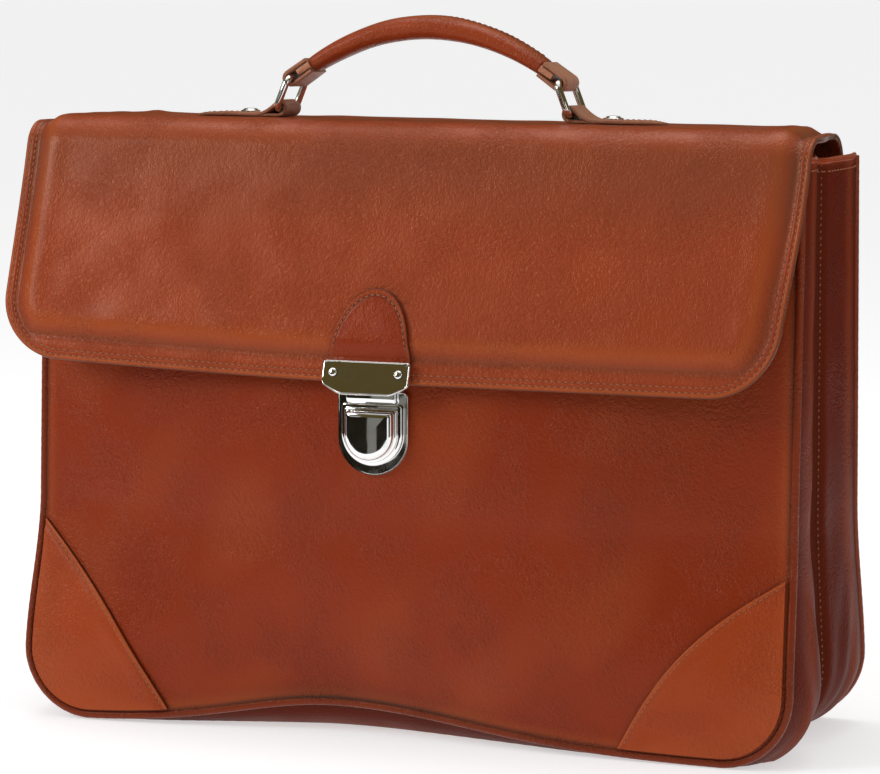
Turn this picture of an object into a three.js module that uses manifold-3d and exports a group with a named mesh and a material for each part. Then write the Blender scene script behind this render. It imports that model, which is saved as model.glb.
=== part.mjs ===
import * as THREE from 'three';
import { mergeVertices } from 'three/addons/utils/BufferGeometryUtils.js';
import Module from 'manifold-3d';

const wasm = await Module();
wasm.setup();

// A tan leather document case in millimetres: X is its width, the front looks along -Y, Z is up.
// Driving sizes of the body
const baseWidth = 394.5;
const upperWidth = 389.5;
const frontBaseDepth = 65;
const frontUpperDepth = 50;
const rearBaseDepth = 67;
const rearUpperDepth = 58;
const frontHeight = 284;
const rearHeight = 281;
const dividerHeight = 273;
const cornerRadius = 34;
const flareStart = 25;
const flareTop = 112;
const frontLean = 8;
const rearLean = 5;
const panelLeather = 1.8;
const gussetLeather = 1.6;
const dividerLeather = 1.6;
const beadRadius = 2.2;
const valleyDepth = 9;
const lobeDepth = 5;
const frontSwellDepth = 22;
const rearSwellDepth = 6;
const pieceGap = 0.3;

// The dent in the bottom front edge, and the weaker one behind it
const dentPlace = -35;
const dentLeftSpread = 72;
const dentRightSpread = 98;
const dentReach = 90;
const frontDentLift = 14;
const rearDentLift = 6;
const frontDentPush = 11;
const rearDentPush = 4;
const dividerDentLift = 4.5;

// Driving sizes of the flap
const flapShift = -2;
const flapLowerShift = -7;
const flapLowerWidth = 397;
const flapFrontWidth = 404;
const flapRearWidth = 380;
const flapTopHeight = 295.5;
const flapTopFall = 4;
const flapFrontBend = 44;
const flapLowerReach = 80;
const flapLowerHeight = 175.5;
const flapLeftRise = 6.5;
const flapStripHeight = 26;
const flapLeather = 3;
const flapPadHeight = 3.2;
const flapLowerBorder = 12;
const flapSideBorder = 7;
const flapPadSlope = 8;
const flapFrontBendRadius = 15;
const flapRearBendRadius = 16;
const flapCornerRadius = 32;

// Driving sizes of the corner patches
const leftPatchHeight = 97;
const leftPatchWidth = 76;
const leftPatchBow = 7;
const rightPatchHeight = 88;
const rightPatchWidth = 84;
const rightPatchBow = 10;
const patchLeather = 1.3;
const patchTip = 3;
const curvedGap = 0.7;

// Driving sizes of the lock
const lockShift = -8.5;
const tabWidth = 42;
const tabHeight = 40;
const tabLeather = 1.6;
const plateWidth = 44.5;
const plateHeight = 16.5;
const plateThickness = 1.8;
const plateChamfer = 9;
const plateDrop = 6.5;
const rivetRadius = 2;
const rivetHeight = 0.9;
const rivetInset = 5.5;
const lockBaseWidth = 36;
const lockBaseHeight = 41;
const lockBaseThickness = 2.4;
const slideWidth = 31;
const slideDepth = 8.5;
const slideTravel = 3;
const slideBelowTop = 6;
const slideFootMargin = 2;
const tongueWidth = 25;
const tongueThickness = 3;
const tongueOverlap = 2;

// Driving sizes of the handle
const handleShift = -4.5;
const handlePlace = 0.33;
const handleSpan = 140;
const gripRise = 45.5;
const gripThickness = 12;
const gripWidth = 21;
const gripEndShare = 0.68;
const strapWidth = 20;
const ringWire = 3.6;
const ringInnerWidth = 21.5;
const ringHeight = 15;
const ringLean = 6;
const rollWall = 2.2;
const chapeLength = 50;
const chapeThickness = 2;
const chapePoint = 12;
const studRadius = 5;
const studHeight = 2.2;
const studPlace = 19;

const leatherTan = new THREE.Color(0.56, 0.25, 0.13);
const leatherDark = new THREE.Color(0.4, 0.14, 0.08);
const chromeColour = new THREE.Color(0.82, 0.82, 0.8);

const model = new THREE.Group();

function clamp01(value) {
  return Math.min(1, Math.max(0, value));
}

function ease(from, to, value) {
  const k = clamp01((value - from) / (to - from));
  return k * k * (3 - 2 * k);
}

// Reads a table of rows by its first column, with an eased step from row to row.
function tableValue(rows, at, column, key) {
  let last = rows[0];
  for (const row of rows) {
    if (key <= row[at]) {
      return last[column] + (row[column] - last[column]) * ease(last[at], row[at], key);
    }
    last = row;
  }
  return last[column];
}

function addPiece(name, geometry, colour, roughness, metalness, parent = model) {
  const material = new THREE.MeshStandardMaterial({ color: colour, roughness, metalness });
  const mesh = new THREE.Mesh(geometry, material);
  mesh.name = name;
  parent.add(mesh);
  return mesh;
}

function addLeather(name, geometry, colour = leatherTan, parent = model) {
  return addPiece(name, geometry, colour, 0.55, 0, parent);
}

function addChrome(name, geometry, parent = model) {
  return addPiece(name, geometry, chromeColour, 0.18, 1, parent);
}

// Makes a geometry from points and faces, turned so that its faces look outward.
function closedGeometry(points, faces) {
  let volume = 0;
  for (const [a, b, c] of faces) {
    volume += points[a].dot(new THREE.Vector3().crossVectors(points[b], points[c]));
  }
  const index = [];
  for (const [a, b, c] of faces) {
    index.push(...(volume > 0 ? [a, b, c] : [a, c, b]));
  }
  const geometry = new THREE.BufferGeometry();
  geometry.setAttribute('position', new THREE.Float32BufferAttribute(points.flatMap((p) => p.toArray()), 3));
  geometry.setIndex(index);
  geometry.computeVertexNormals();
  return geometry;
}

// Joins two grids of points, one for each face of a leather sheet, into a closed wall.
function wallBetween(outer, inner) {
  const rows = outer.length;
  const columns = outer[0].length;
  const points = [...outer.flat(), ...inner.flat()];
  const far = rows * columns;
  const at = (row, column) => row * columns + column;
  const faces = [];
  const quad = (a, b, c, d) => faces.push([a, b, c], [a, c, d]);
  for (let row = 0; row < rows - 1; row += 1) {
    for (let column = 0; column < columns - 1; column += 1) {
      const a = at(row, column);
      const b = at(row, column + 1);
      const c = at(row + 1, column + 1);
      const d = at(row + 1, column);
      quad(a, b, c, d);
      quad(far + d, far + c, far + b, far + a);
    }
  }
  for (let column = 0; column < columns - 1; column += 1) {
    const top = at(rows - 1, column);
    quad(far + column, far + column + 1, column + 1, column);
    quad(top, top + 1, far + top + 1, far + top);
  }
  for (let row = 0; row < rows - 1; row += 1) {
    const left = at(row, 0);
    const right = at(row, columns - 1);
    quad(left, left + columns, far + left + columns, far + left);
    quad(far + right, far + right + columns, right + columns, right);
  }
  return closedGeometry(points, faces);
}

function makeGrid(rows, columns, pointAt) {
  return Array.from({ length: rows }, (_, row) =>
    Array.from({ length: columns }, (_, column) => pointAt(row / (rows - 1), column / (columns - 1))));
}

// Carries rings of points along a path; an open run is closed with a fan at each end.
function ringsGeometry(rings, closed) {
  const sides = rings[0].length;
  const points = rings.flat();
  const faces = [];
  const runs = closed ? rings.length : rings.length - 1;
  for (let run = 0; run < runs; run += 1) {
    const here = run * sides;
    const next = ((run + 1) % rings.length) * sides;
    for (let side = 0; side < sides; side += 1) {
      const after = (side + 1) % sides;
      faces.push([here + side, here + after, next + after], [here + side, next + after, next + side]);
    }
  }
  if (!closed) {
    const last = (rings.length - 1) * sides;
    for (const [start, flip] of [[0, true], [last, false]]) {
      const middle = new THREE.Vector3();
      for (let side = 0; side < sides; side += 1) {
        middle.addScaledVector(points[start + side], 1 / sides);
      }
      points.push(middle);
      for (let side = 0; side < sides; side += 1) {
        const after = start + ((side + 1) % sides);
        faces.push(flip ? [points.length - 1, after, start + side] : [points.length - 1, start + side, after]);
      }
    }
  }
  return closedGeometry(points, faces);
}

function toManifold(geometry) {
  const bare = geometry.clone();
  bare.deleteAttribute('normal');
  bare.deleteAttribute('uv');
  const merged = mergeVertices(bare, 1e-4);
  return new wasm.Manifold(new wasm.Mesh({
    numProp: 3,
    vertProperties: new Float32Array(merged.attributes.position.array),
    triVerts: new Uint32Array(merged.index.array),
  }));
}

function fromManifold(solid) {
  const mesh = solid.getMesh();
  const geometry = new THREE.BufferGeometry();
  geometry.setAttribute('position', new THREE.BufferAttribute(new Float32Array(mesh.vertProperties), 3));
  geometry.setIndex(new THREE.BufferAttribute(new Uint32Array(mesh.triVerts), 1));
  geometry.computeVertexNormals();
  return geometry;
}

// Body form
const floorLevel = -beadRadius;
const front = {
  sign: -1,
  height: frontHeight,
  lean: frontLean,
  baseDepth: frontBaseDepth,
  upperDepth: frontUpperDepth,
  lift: frontDentLift,
  push: frontDentPush,
  swell: frontSwellDepth,
  swellTop: frontHeight,
};
const rear = {
  sign: 1,
  height: rearHeight,
  lean: rearLean,
  baseDepth: rearBaseDepth,
  upperDepth: rearUpperDepth,
  lift: rearDentLift,
  push: rearDentPush,
  swell: rearSwellDepth,
  swellTop: rearHeight - flapStripHeight,
};

function flareAt(z) {
  return 1 - ease(flareStart, flareTop, z);
}

function halfWidthAt(z) {
  return (upperWidth + (baseWidth - upperWidth) * flareAt(z)) / 2;
}

function seamDepthAt(side, z) {
  const leaning = side.lean * clamp01((z - flareTop) / (side.height - flareTop));
  return side.upperDepth + (side.baseDepth - side.upperDepth) * flareAt(z) - leaning;
}

function dentAt(x, z) {
  const spread = x < dentPlace ? dentLeftSpread : dentRightSpread;
  return Math.exp(-(((x - dentPlace) / spread) ** 2)) * (1 - ease(0, dentReach, z));
}

// Bends a point of the plain outline, given in the plane of a panel, to its real place.
function seamPlace(side, x, z) {
  const dent = dentAt(x, z);
  return new THREE.Vector3(
    (x * halfWidthAt(z)) / (baseWidth / 2),
    side.sign * (seamDepthAt(side, z) - side.push * dent),
    z + side.lift * dent,
  );
}

// The plain outline, from the left top down, along the bottom and up to the right top
const sideSteps = 10;
const cornerSteps = 6;
const bottomSteps = 20;

function outlineStations(height, inset) {
  const half = baseWidth / 2;
  const stations = [];
  const rowHeights = Array.from({ length: sideSteps }, (_, k) =>
    height + (cornerRadius - height) * (k / sideSteps));
  for (const z of rowHeights) {
    stations.push({ x: inset - half, z, nx: -1, nz: 0 });
  }
  for (let k = 0; k <= cornerSteps; k += 1) {
    const angle = (k / cornerSteps) * (Math.PI / 2);
    const reach = cornerRadius - inset;
    stations.push({
      x: cornerRadius - half - reach * Math.cos(angle),
      z: cornerRadius - reach * Math.sin(angle),
      nx: -Math.cos(angle),
      nz: -Math.sin(angle),
    });
  }
  for (let k = 1; k < bottomSteps; k += 1) {
    stations.push({ x: (half - cornerRadius) * ((2 * k) / bottomSteps - 1), z: inset, nx: 0, nz: -1 });
  }
  const leftHalf = stations.slice(0, sideSteps + cornerSteps + 1);
  for (const { x, z, nx, nz } of leftHalf.reverse()) {
    stations.push({ x: -x, z, nx: -nx, nz });
  }
  return stations;
}

// Swell of the filled front and rear panels, as shares of its depth over the height
const swellRows = [
  { height: 0, swell: 0 },
  { height: 0.16, swell: 0.42 },
  { height: 0.36, swell: 0.86 },
  { height: 0.54, swell: 1 },
  { height: 0.66, swell: 0.93 },
  { height: 0.8, swell: 0.5 },
  { height: 1, swell: 0 },
];

function swellAt(side, x, z) {
  const across = 1 - Math.abs(x / (baseWidth / 2)) ** 2.4;
  return side.swell * across * tableValue(swellRows, 'height', 'swell', clamp01(z / side.swellTop));
}

// A point on a panel, with how far it lies outside the middle of the leather
function panelPoint(side, x, z, outside) {
  const point = seamPlace(side, x, z);
  point.y += side.sign * (swellAt(side, x, z) + outside);
  return point;
}

// Half width of the plain outline at a height, round the bottom corners
function outlineHalf(z, inset) {
  const reach = cornerRadius - inset;
  const rise = cornerRadius - z;
  const half = baseWidth / 2;
  return rise <= 0 ? half - inset : half - cornerRadius + Math.sqrt(Math.max(0, reach ** 2 - rise ** 2));
}

function panelRowHeights(height, inset, cornerRows, plainRows) {
  const reach = cornerRadius - inset;
  const low = Array.from({ length: cornerRows }, (_, k) =>
    cornerRadius - reach * Math.cos((k / cornerRows) * (Math.PI / 2)));
  const high = Array.from({ length: plainRows + 1 }, (_, k) =>
    cornerRadius + (height - cornerRadius) * (k / plainRows));
  return [...low, ...high];
}

function panelGeometry(side, columns, plainRows) {
  const inset = beadRadius + pieceGap;
  const heights = panelRowHeights(side.height, inset, cornerSteps, plainRows);
  const gridAt = (outside) => heights.map((z) =>
    Array.from({ length: columns + 1 }, (_, k) =>
      panelPoint(side, outlineHalf(z, inset) * ((2 * k) / columns - 1), z, outside)));
  return wallBetween(gridAt(panelLeather / 2), gridAt(-panelLeather / 2));
}

// The round bead that is sewn into the seam between a panel and its gusset
function beadGeometry(side, sides) {
  const rings = outlineStations(side.height, 0).map(({ x, z, nx, nz }) => {
    const middle = seamPlace(side, x, z);
    return Array.from({ length: sides }, (_, k) => {
      const angle = ((k + 0.5) / sides) * 2 * Math.PI;
      const out = beadRadius * Math.cos(angle);
      return middle.clone().add(new THREE.Vector3(nx * out, beadRadius * Math.sin(angle), nz * out));
    });
  });
  return ringsGeometry(rings, false);
}

// How a gusset runs from its panel to the divider: share of the way, how far it lies in as a
// share of the valley at the divider, how much of the lobe at the foot stands out, and how much
// it keeps of the difference in lift between the dented seam and the divider.
const frontGussetRows = [
  { way: 0, inward: 0, lobe: 0, follow: 1 },
  { way: 0.2, inward: -0.14, lobe: 0.55, follow: 0.3 },
  { way: 0.42, inward: -0.14, lobe: 1, follow: 0.06 },
  { way: 0.62, inward: 0.2, lobe: 0.9, follow: 0 },
  { way: 0.82, inward: 0.62, lobe: 0.4, follow: 0 },
  { way: 1, inward: 1, lobe: 0, follow: 0 },
];
const rearGussetRows = [
  { way: 0, inward: 0, lobe: 0, follow: 1 },
  { way: 0.22, inward: -0.14, lobe: 0.1, follow: 0.5 },
  { way: 0.5, inward: 0, lobe: 0.2, follow: 0.2 },
  { way: 0.74, inward: 0.22, lobe: 0.3, follow: 0 },
  { way: 0.88, inward: 0.5, lobe: 0.2, follow: 0 },
  { way: 1, inward: 1, lobe: 0, follow: 0 },
];

function gussetPoint(side, station, row, outside) {
  const inward = row.inward * valleyDepth - row.lobe * lobeDepth * flareAt(station.z) - outside;
  const x = station.x - station.nx * inward;
  const z = station.z - station.nz * inward;
  const seam = seamPlace(side, x, z);
  const start = seam.y - side.sign * (beadRadius + pieceGap);
  const end = side.sign * (dividerLeather / 2 + pieceGap);
  const lift = dividerDentLift + (side.lift - dividerDentLift) * row.follow;
  const lifted = z + lift * dentAt(x, z);
  const onFloor = floorLevel + gussetLeather / 2 - outside;
  return new THREE.Vector3(seam.x, start + (end - start) * row.way, Math.max(lifted, onFloor));
}

function gussetGeometry(side, rows) {
  const stations = outlineStations(side.height, 0);
  const gridAt = (outside) => stations.map((station) =>
    rows.map((row) => gussetPoint(side, station, row, outside)));
  return wallBetween(gridAt(gussetLeather / 2), gridAt(-gussetLeather / 2));
}

function dividerGeometry() {
  const stations = outlineStations(dividerHeight, valleyDepth - gussetLeather / 2);
  const shape = new THREE.Shape(stations.map(({ x, z }) => {
    return new THREE.Vector2(seamPlace(front, x, z).x, z + dividerDentLift * dentAt(x, z));
  }));
  const geometry = new THREE.ExtrudeGeometry(shape, { depth: dividerLeather, bevelEnabled: false });
  geometry.rotateX(Math.PI / 2);
  geometry.translate(0, dividerLeather / 2, 0);
  return geometry;
}

addLeather('front_panel', panelGeometry(front, 20, 14));
addLeather('front_piping', beadGeometry(front, 6));
addLeather('front_gusset', gussetGeometry(front, frontGussetRows), leatherDark);
addLeather('divider', dividerGeometry(), leatherDark);
addLeather('rear_gusset', gussetGeometry(rear, rearGussetRows), leatherDark);
addLeather('rear_piping', beadGeometry(rear, 6));
addLeather('rear_panel', panelGeometry(rear, 10, 12));

// A path of straight runs with rounded corners in the YZ plane, measured by the distance along it
function roundedPath(corners, radii) {
  const runs = [];
  let here = corners[0];
  let travelled = 0;
  for (let k = 1; k < corners.length; k += 1) {
    const corner = corners[k];
    const along = corner.clone().sub(corners[k - 1]).normalize();
    const turn = k < corners.length - 1 ? along.angleTo(corners[k + 1].clone().sub(corner)) : 0;
    const trim = turn > 0 ? radii[k - 1] * Math.tan(turn / 2) : 0;
    const end = corner.clone().addScaledVector(along, -trim);
    const length = end.distanceTo(here);
    runs.push({ from: travelled, length, start: here, along, turn: 0, radius: 0 });
    travelled += length;
    here = end;
    if (turn > 0) {
      const next = corners[k + 1].clone().sub(corner).normalize();
      const arc = turn * radii[k - 1];
      runs.push({ from: travelled, length: arc, start: end, along, turn, radius: radii[k - 1] });
      travelled += arc;
      here = corner.clone().addScaledVector(next, trim);
    }
  }
  return { runs, length: travelled };
}

// Place and outward normal at a distance along a path that turns to the right of its way
function pathAt(path, distance) {
  const run = path.runs.findLast((one) => distance >= one.from) ?? path.runs[0];
  const gone = distance - run.from;
  const left = new THREE.Vector2(-run.along.y, run.along.x);
  if (run.radius === 0) {
    return { place: run.start.clone().addScaledVector(run.along, gone), normal: left };
  }
  const angle = gone / run.radius;
  const place = run.start.clone()
    .addScaledVector(run.along, run.radius * Math.sin(angle))
    .addScaledVector(left, -run.radius * (1 - Math.cos(angle)));
  const normal = left.clone().multiplyScalar(Math.cos(angle)).addScaledVector(run.along, Math.sin(angle));
  return { place, normal };
}

// Flap, from its lower front edge up over the top and down to its strip on the rear panel
const stripLow = rearHeight - flapStripHeight;
const stripFace = seamDepthAt(rear, stripLow) + panelLeather / 2 + pieceGap + flapLeather;
const flapCorners = [
  new THREE.Vector2(-flapLowerReach, flapLowerHeight),
  new THREE.Vector2(-flapFrontBend, flapTopHeight),
  new THREE.Vector2(stripFace, flapTopHeight - flapTopFall),
  new THREE.Vector2(stripFace, stripLow),
];
const flapPath = roundedPath(flapCorners, [flapFrontBendRadius, flapRearBendRadius]);
const [frontRun, frontBendRun, topRun, rearBendRun, stripRun] = flapPath.runs;

function flapHalfAt(distance) {
  const down = 1 - ease(0, frontRun.length, distance);
  const back = ease(topRun.from, rearBendRun.from, distance);
  return (flapFrontWidth + (flapLowerWidth - flapFrontWidth) * down + (flapRearWidth - flapFrontWidth) * back) / 2;
}

function flapShiftAt(distance) {
  return flapShift + (flapLowerShift - flapShift) * (1 - ease(0, frontRun.length, distance));
}

// How far a place lies inside the flat border that runs along the free edges of the flap
function insideBorder(x, distance) {
  const beyond = Math.abs(x) - (flapHalfAt(distance) - flapCornerRadius);
  const below = flapCornerRadius - distance;
  const straight = Math.min(distance - flapLowerBorder, flapCornerRadius - beyond - flapSideBorder);
  if (beyond > 0 && below > 0) {
    return Math.min(straight, flapCornerRadius - Math.hypot(beyond, below) - flapSideBorder);
  }
  return straight;
}

// The raised padding, which ends where the strip on the rear panel begins
function flapPadAt(x, distance) {
  const onTop = 1 - ease(rearBendRun.from, stripRun.from, distance);
  return flapPadHeight * ease(0, flapPadSlope, insideBorder(x, distance)) * onTop;
}

// A point of the flap: x from its middle, the distance up from its lower edge, and the height
// over the flat border
function flapPoint(x, distance, over) {
  const { place, normal } = pathAt(flapPath, distance);
  const leftward = Math.max(0, -x / flapHalfAt(distance)) ** 1.5;
  const rise = flapLeftRise * leftward * (1 - ease(0, frontRun.length, distance));
  return new THREE.Vector3(
    x + flapShiftAt(distance),
    place.x + normal.x * over,
    place.y + normal.y * over + rise,
  );
}

function stepsOver(from, length, count) {
  return Array.from({ length: count }, (_, k) => from + (length * k) / count);
}

// Distances of the flap's rows from its lower edge: close together round its corners and bends
const flapRows = [
  ...[0, 0.05, 0.2, 0.42, 0.56, 0.75].map((share) => share * flapCornerRadius),
  ...stepsOver(flapCornerRadius, frontRun.length - flapCornerRadius, 6),
  ...stepsOver(frontBendRun.from, frontBendRun.length, 4),
  ...stepsOver(topRun.from, topRun.length, 5),
  ...stepsOver(rearBendRun.from, rearBendRun.length, 4),
  ...stepsOver(stripRun.from, stripRun.length, 2),
  flapPath.length,
];

function flapGeometry() {
  const inner = 14;
  const sides = [0, flapSideBorder, flapSideBorder + flapPadSlope / 2, flapSideBorder + flapPadSlope];
  const columnsAt = (half) => {
    const last = half - sides.at(-1);
    const middle = Array.from({ length: inner - 1 }, (_, k) => last * ((2 * (k + 1)) / inner - 1));
    return [...sides.map((s) => s - half), ...middle, ...sides.toReversed().map((s) => half - s)];
  };
  const cornerHalf = (distance) => {
    const below = Math.max(0, flapCornerRadius - distance);
    return flapHalfAt(distance) - flapCornerRadius + Math.sqrt(flapCornerRadius ** 2 - below ** 2);
  };
  const gridAt = (overAt) => flapRows.map((distance) =>
    columnsAt(cornerHalf(distance)).map((x) => flapPoint(x, distance, overAt(x, distance))));
  return wallBetween(gridAt(flapPadAt), gridAt(() => -flapLeather));
}

// A patch over a bottom corner of the front panel, from a bowed cut edge to the bead
function patchGeometry(sideways, patchHeight, patchWidth, patchBow) {
  const inset = beadRadius + 2 * pieceGap;
  const reach = cornerRadius - inset;
  const half = baseWidth / 2;
  const outlineAt = (share) => {
    const upright = patchHeight - patchTip - cornerRadius;
    const arc = (reach * Math.PI) / 2;
    const level = patchWidth - patchTip - cornerRadius;
    const gone = share * (upright + arc + level);
    if (gone < upright) {
      return [half - inset, patchHeight - patchTip - gone];
    }
    if (gone < upright + arc) {
      const angle = (gone - upright) / reach;
      return [half - cornerRadius + reach * Math.cos(angle), cornerRadius - reach * Math.sin(angle)];
    }
    return [half - cornerRadius - (gone - upright - arc), inset];
  };
  const cutAt = (share) => {
    const bow = patchBow * Math.sin(share * Math.PI);
    const run = new THREE.Vector2(inset - patchWidth, inset - patchHeight);
    const across = new THREE.Vector2(run.y, -run.x).normalize();
    return [
      half - inset + run.x * share + across.x * bow,
      patchHeight + run.y * share + across.y * bow,
    ];
  };
  const gridAt = (outside) => makeGrid(13, 6, (along, across) => {
    const [cutX, cutZ] = cutAt(along);
    const [edgeX, edgeZ] = outlineAt(along);
    const x = cutX + (edgeX - cutX) * across;
    const z = cutZ + (edgeZ - cutZ) * across;
    return panelPoint(front, sideways * x, z, outside);
  });
  const skin = panelLeather / 2 + curvedGap;
  return wallBetween(gridAt(skin + patchLeather), gridAt(skin));
}

// Lock
const lockOnFlap = lockShift - flapLowerShift;

// A half ellipse of leather on the flap, which follows the flap's own rows up its padded edge
function tabGeometry() {
  const low = plateDrop - 1;
  const roundFrom = flapCornerRadius;
  const rounded = [0, 0.35, 0.6, 0.8, 0.92, 0.985].map((share) => roundFrom + (low + tabHeight - roundFrom) * share);
  const distances = [low, ...flapRows.filter((distance) => distance > low && distance < roundFrom), ...rounded];
  const gridAt = (over) => distances.map((distance) => {
    const half = (tabWidth / 2) * Math.sqrt(1 - ((distance - low) / tabHeight) ** 2.2);
    return Array.from({ length: 9 }, (_, k) => {
      const x = lockOnFlap + half * (k / 4 - 1);
      return flapPoint(x, distance, flapPadAt(x, distance) + over);
    });
  });
  return wallBetween(gridAt(curvedGap + tabLeather), gridAt(curvedGap));
}

function extrudeForward(shape, depth, bevel) {
  const geometry = new THREE.ExtrudeGeometry(shape, {
    depth: depth - 2 * bevel,
    bevelEnabled: true,
    bevelThickness: bevel,
    bevelSize: bevel,
    bevelOffset: -bevel,
    bevelSegments: 1,
  });
  geometry.translate(0, 0, bevel);
  geometry.rotateX(Math.PI / 2);
  return geometry;
}

// Points of a plate with a level top and a round foot, from its top middle at zero downward
function roundFootOutline(width, height, steps) {
  const radius = width / 2;
  const points = [new THREE.Vector2(-radius, 0)];
  for (let k = 0; k <= steps; k += 1) {
    const angle = Math.PI + (k / steps) * Math.PI;
    points.push(new THREE.Vector2(radius * Math.cos(angle), radius - height + radius * Math.sin(angle)));
  }
  points.push(new THREE.Vector2(radius, 0));
  return points;
}

const slope = Math.atan2(flapFrontBend - flapLowerReach, flapTopHeight - flapLowerHeight);
const plateGroup = new THREE.Group();
const plateBack = curvedGap + tabLeather + pieceGap;
plateGroup.position.copy(flapPoint(lockOnFlap, 0, plateBack));
plateGroup.rotation.x = slope;
model.add(plateGroup);

function plateGeometry() {
  const half = plateWidth / 2;
  const shape = new THREE.Shape([
    new THREE.Vector2(-half, plateHeight - plateDrop),
    new THREE.Vector2(-half, plateChamfer / 2 - plateDrop),
    new THREE.Vector2(plateChamfer - half, -plateDrop),
    new THREE.Vector2(half - plateChamfer, -plateDrop),
    new THREE.Vector2(half, plateChamfer / 2 - plateDrop),
    new THREE.Vector2(half, plateHeight - plateDrop),
  ]);
  return extrudeForward(shape, plateThickness, plateThickness / 3);
}

function rivetGeometry() {
  const profile = [
    new THREE.Vector2(0, 0),
    new THREE.Vector2(rivetRadius, 0),
    new THREE.Vector2(rivetRadius * 0.75, rivetHeight * 0.7),
    new THREE.Vector2(0, rivetHeight),
  ];
  const geometry = new THREE.LatheGeometry(profile, 10);
  geometry.rotateX(Math.PI);
  return geometry;
}

// The base carries on below the thumb piece, so that the thumb piece stays on it at the end of its way
const slideHeight = lockBaseHeight - slideBelowTop - slideTravel - slideFootMargin;

// The panel's most forward point behind the lock base, which the base clears
const baseTop = flapLowerHeight - plateDrop + tongueOverlap;

function panelFrontBehindBase() {
  let reach = 0;
  for (const share of [0, 0.25, 0.5, 0.75, 1]) {
    for (const x of [-lockBaseWidth / 2, 0, lockBaseWidth / 2]) {
      const z = baseTop - lockBaseHeight * share;
      reach = Math.min(reach, panelPoint(front, lockShift + x, z, panelLeather / 2).y);
    }
  }
  return reach;
}

const lockGroup = new THREE.Group();
lockGroup.position.set(lockShift, panelFrontBehindBase() - pieceGap, baseTop);
model.add(lockGroup);

// The thumb piece, as outlines that draw in towards its face
const slideRows = [
  { depth: 0, size: 1 },
  { depth: 0.18, size: 1 },
  { depth: 0.26, size: 0.93 },
  { depth: 0.86, size: 0.76 },
  { depth: 1, size: 0.67 },
];

function slideGeometry() {
  const outline = roundFootOutline(slideWidth, slideHeight, 12);
  const middle = -slideHeight / 2;
  const rings = slideRows.map(({ depth, size }) => outline.map(({ x, y }) =>
    new THREE.Vector3(x * size, -slideDepth * depth, middle + (y - middle) * size)));
  return ringsGeometry(rings, false);
}

// Handle
const handleDistance = topRun.from + topRun.length * handlePlace;
const handleGroup = new THREE.Group();
const handleSeat = flapPoint(0, handleDistance, flapPadAt(0, handleDistance));
handleGroup.position.set(handleShift, handleSeat.y, handleSeat.z);
handleGroup.rotation.x = -Math.atan2(flapTopFall, stripFace + flapFrontBend);
model.add(handleGroup);

const rollHole = ringWire / 2 + pieceGap;
const rollRadius = rollHole + rollWall;
const lowBar = { x: handleSpan / 2 + ringLean, z: pieceGap + rollRadius };
const highBar = { x: handleSpan / 2, z: pieceGap + rollRadius + ringHeight };
const gripEnd = highBar.x * 0.86;
const gripFall = (gripRise - highBar.z) / highBar.x ** 2;

function gripHeightAt(x) {
  return gripRise - gripFall * x ** 2;
}

// The padded grip: an arch whose flattened section thins towards both ends
function gripGeometry() {
  const steps = 16;
  const sides = 12;
  const rings = Array.from({ length: steps + 1 }, (_, k) => {
    const share = (2 * k) / steps - 1;
    const x = gripEnd * share;
    const size = 1 + (gripEndShare - 1) * Math.abs(share) ** 1.6;
    const along = new THREE.Vector3(1, 0, -2 * gripFall * x).normalize();
    const up = new THREE.Vector3(-along.z, 0, along.x);
    const middle = new THREE.Vector3(x, 0, gripHeightAt(x));
    return Array.from({ length: sides }, (_, side) => {
      const angle = ((side + 0.5) / sides) * 2 * Math.PI;
      const across = Math.sign(Math.cos(angle)) * Math.abs(Math.cos(angle)) ** 0.8;
      const over = Math.sign(Math.sin(angle)) * Math.abs(Math.sin(angle)) ** 0.8;
      return middle.clone()
        .addScaledVector(up, (over * size * gripThickness) / 2)
        .add(new THREE.Vector3(0, (across * gripWidth * (0.5 + size / 2)) / 2, 0));
    });
  });
  return ringsGeometry(rings, false);
}

// A strap seen from its side that rolls round a bar, extruded to the strap's width
function rolledStrap(outline, bar) {
  const shape = new THREE.Shape(THREE.ShapeUtils.isClockWise(outline) ? outline.toReversed() : outline);
  const sides = 12;
  const reach = rollHole / Math.cos(Math.PI / sides);
  shape.holes.push(new THREE.Path(Array.from({ length: sides }, (_, k) => {
    const angle = (-2 * Math.PI * k) / sides;
    return new THREE.Vector2(bar.x + reach * Math.cos(angle), bar.z + reach * Math.sin(angle));
  })));
  const geometry = new THREE.ExtrudeGeometry(shape, { depth: strapWidth, bevelEnabled: false });
  geometry.rotateX(Math.PI / 2);
  geometry.translate(0, strapWidth / 2, 0);
  return geometry;
}

function arcPoints(bar, from, to, steps) {
  return Array.from({ length: steps + 1 }, (_, k) => {
    const angle = from + ((to - from) * k) / steps;
    return new THREE.Vector2(bar.x + rollRadius * Math.cos(angle), bar.z + rollRadius * Math.sin(angle));
  });
}

// The strap end that ties the grip to a ring
function handleEndGeometry() {
  const tilt = Math.atan(2 * gripFall * gripEnd);
  const back = new THREE.Vector2(-Math.cos(tilt), Math.sin(tilt));
  const start = new THREE.Vector2(gripEnd, gripHeightAt(gripEnd)).addScaledVector(back, -pieceGap);
  const half = (gripThickness * gripEndShare) / 2;
  const up = new THREE.Vector2(back.y, -back.x);
  const turn = Math.PI / 2 - tilt;
  const outline = [
    ...arcPoints(highBar, turn - Math.PI, turn, 10),
    start.clone().addScaledVector(up, half),
    start.clone().addScaledVector(up, -half),
  ];
  return rolledStrap(outline, highBar);
}

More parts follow.
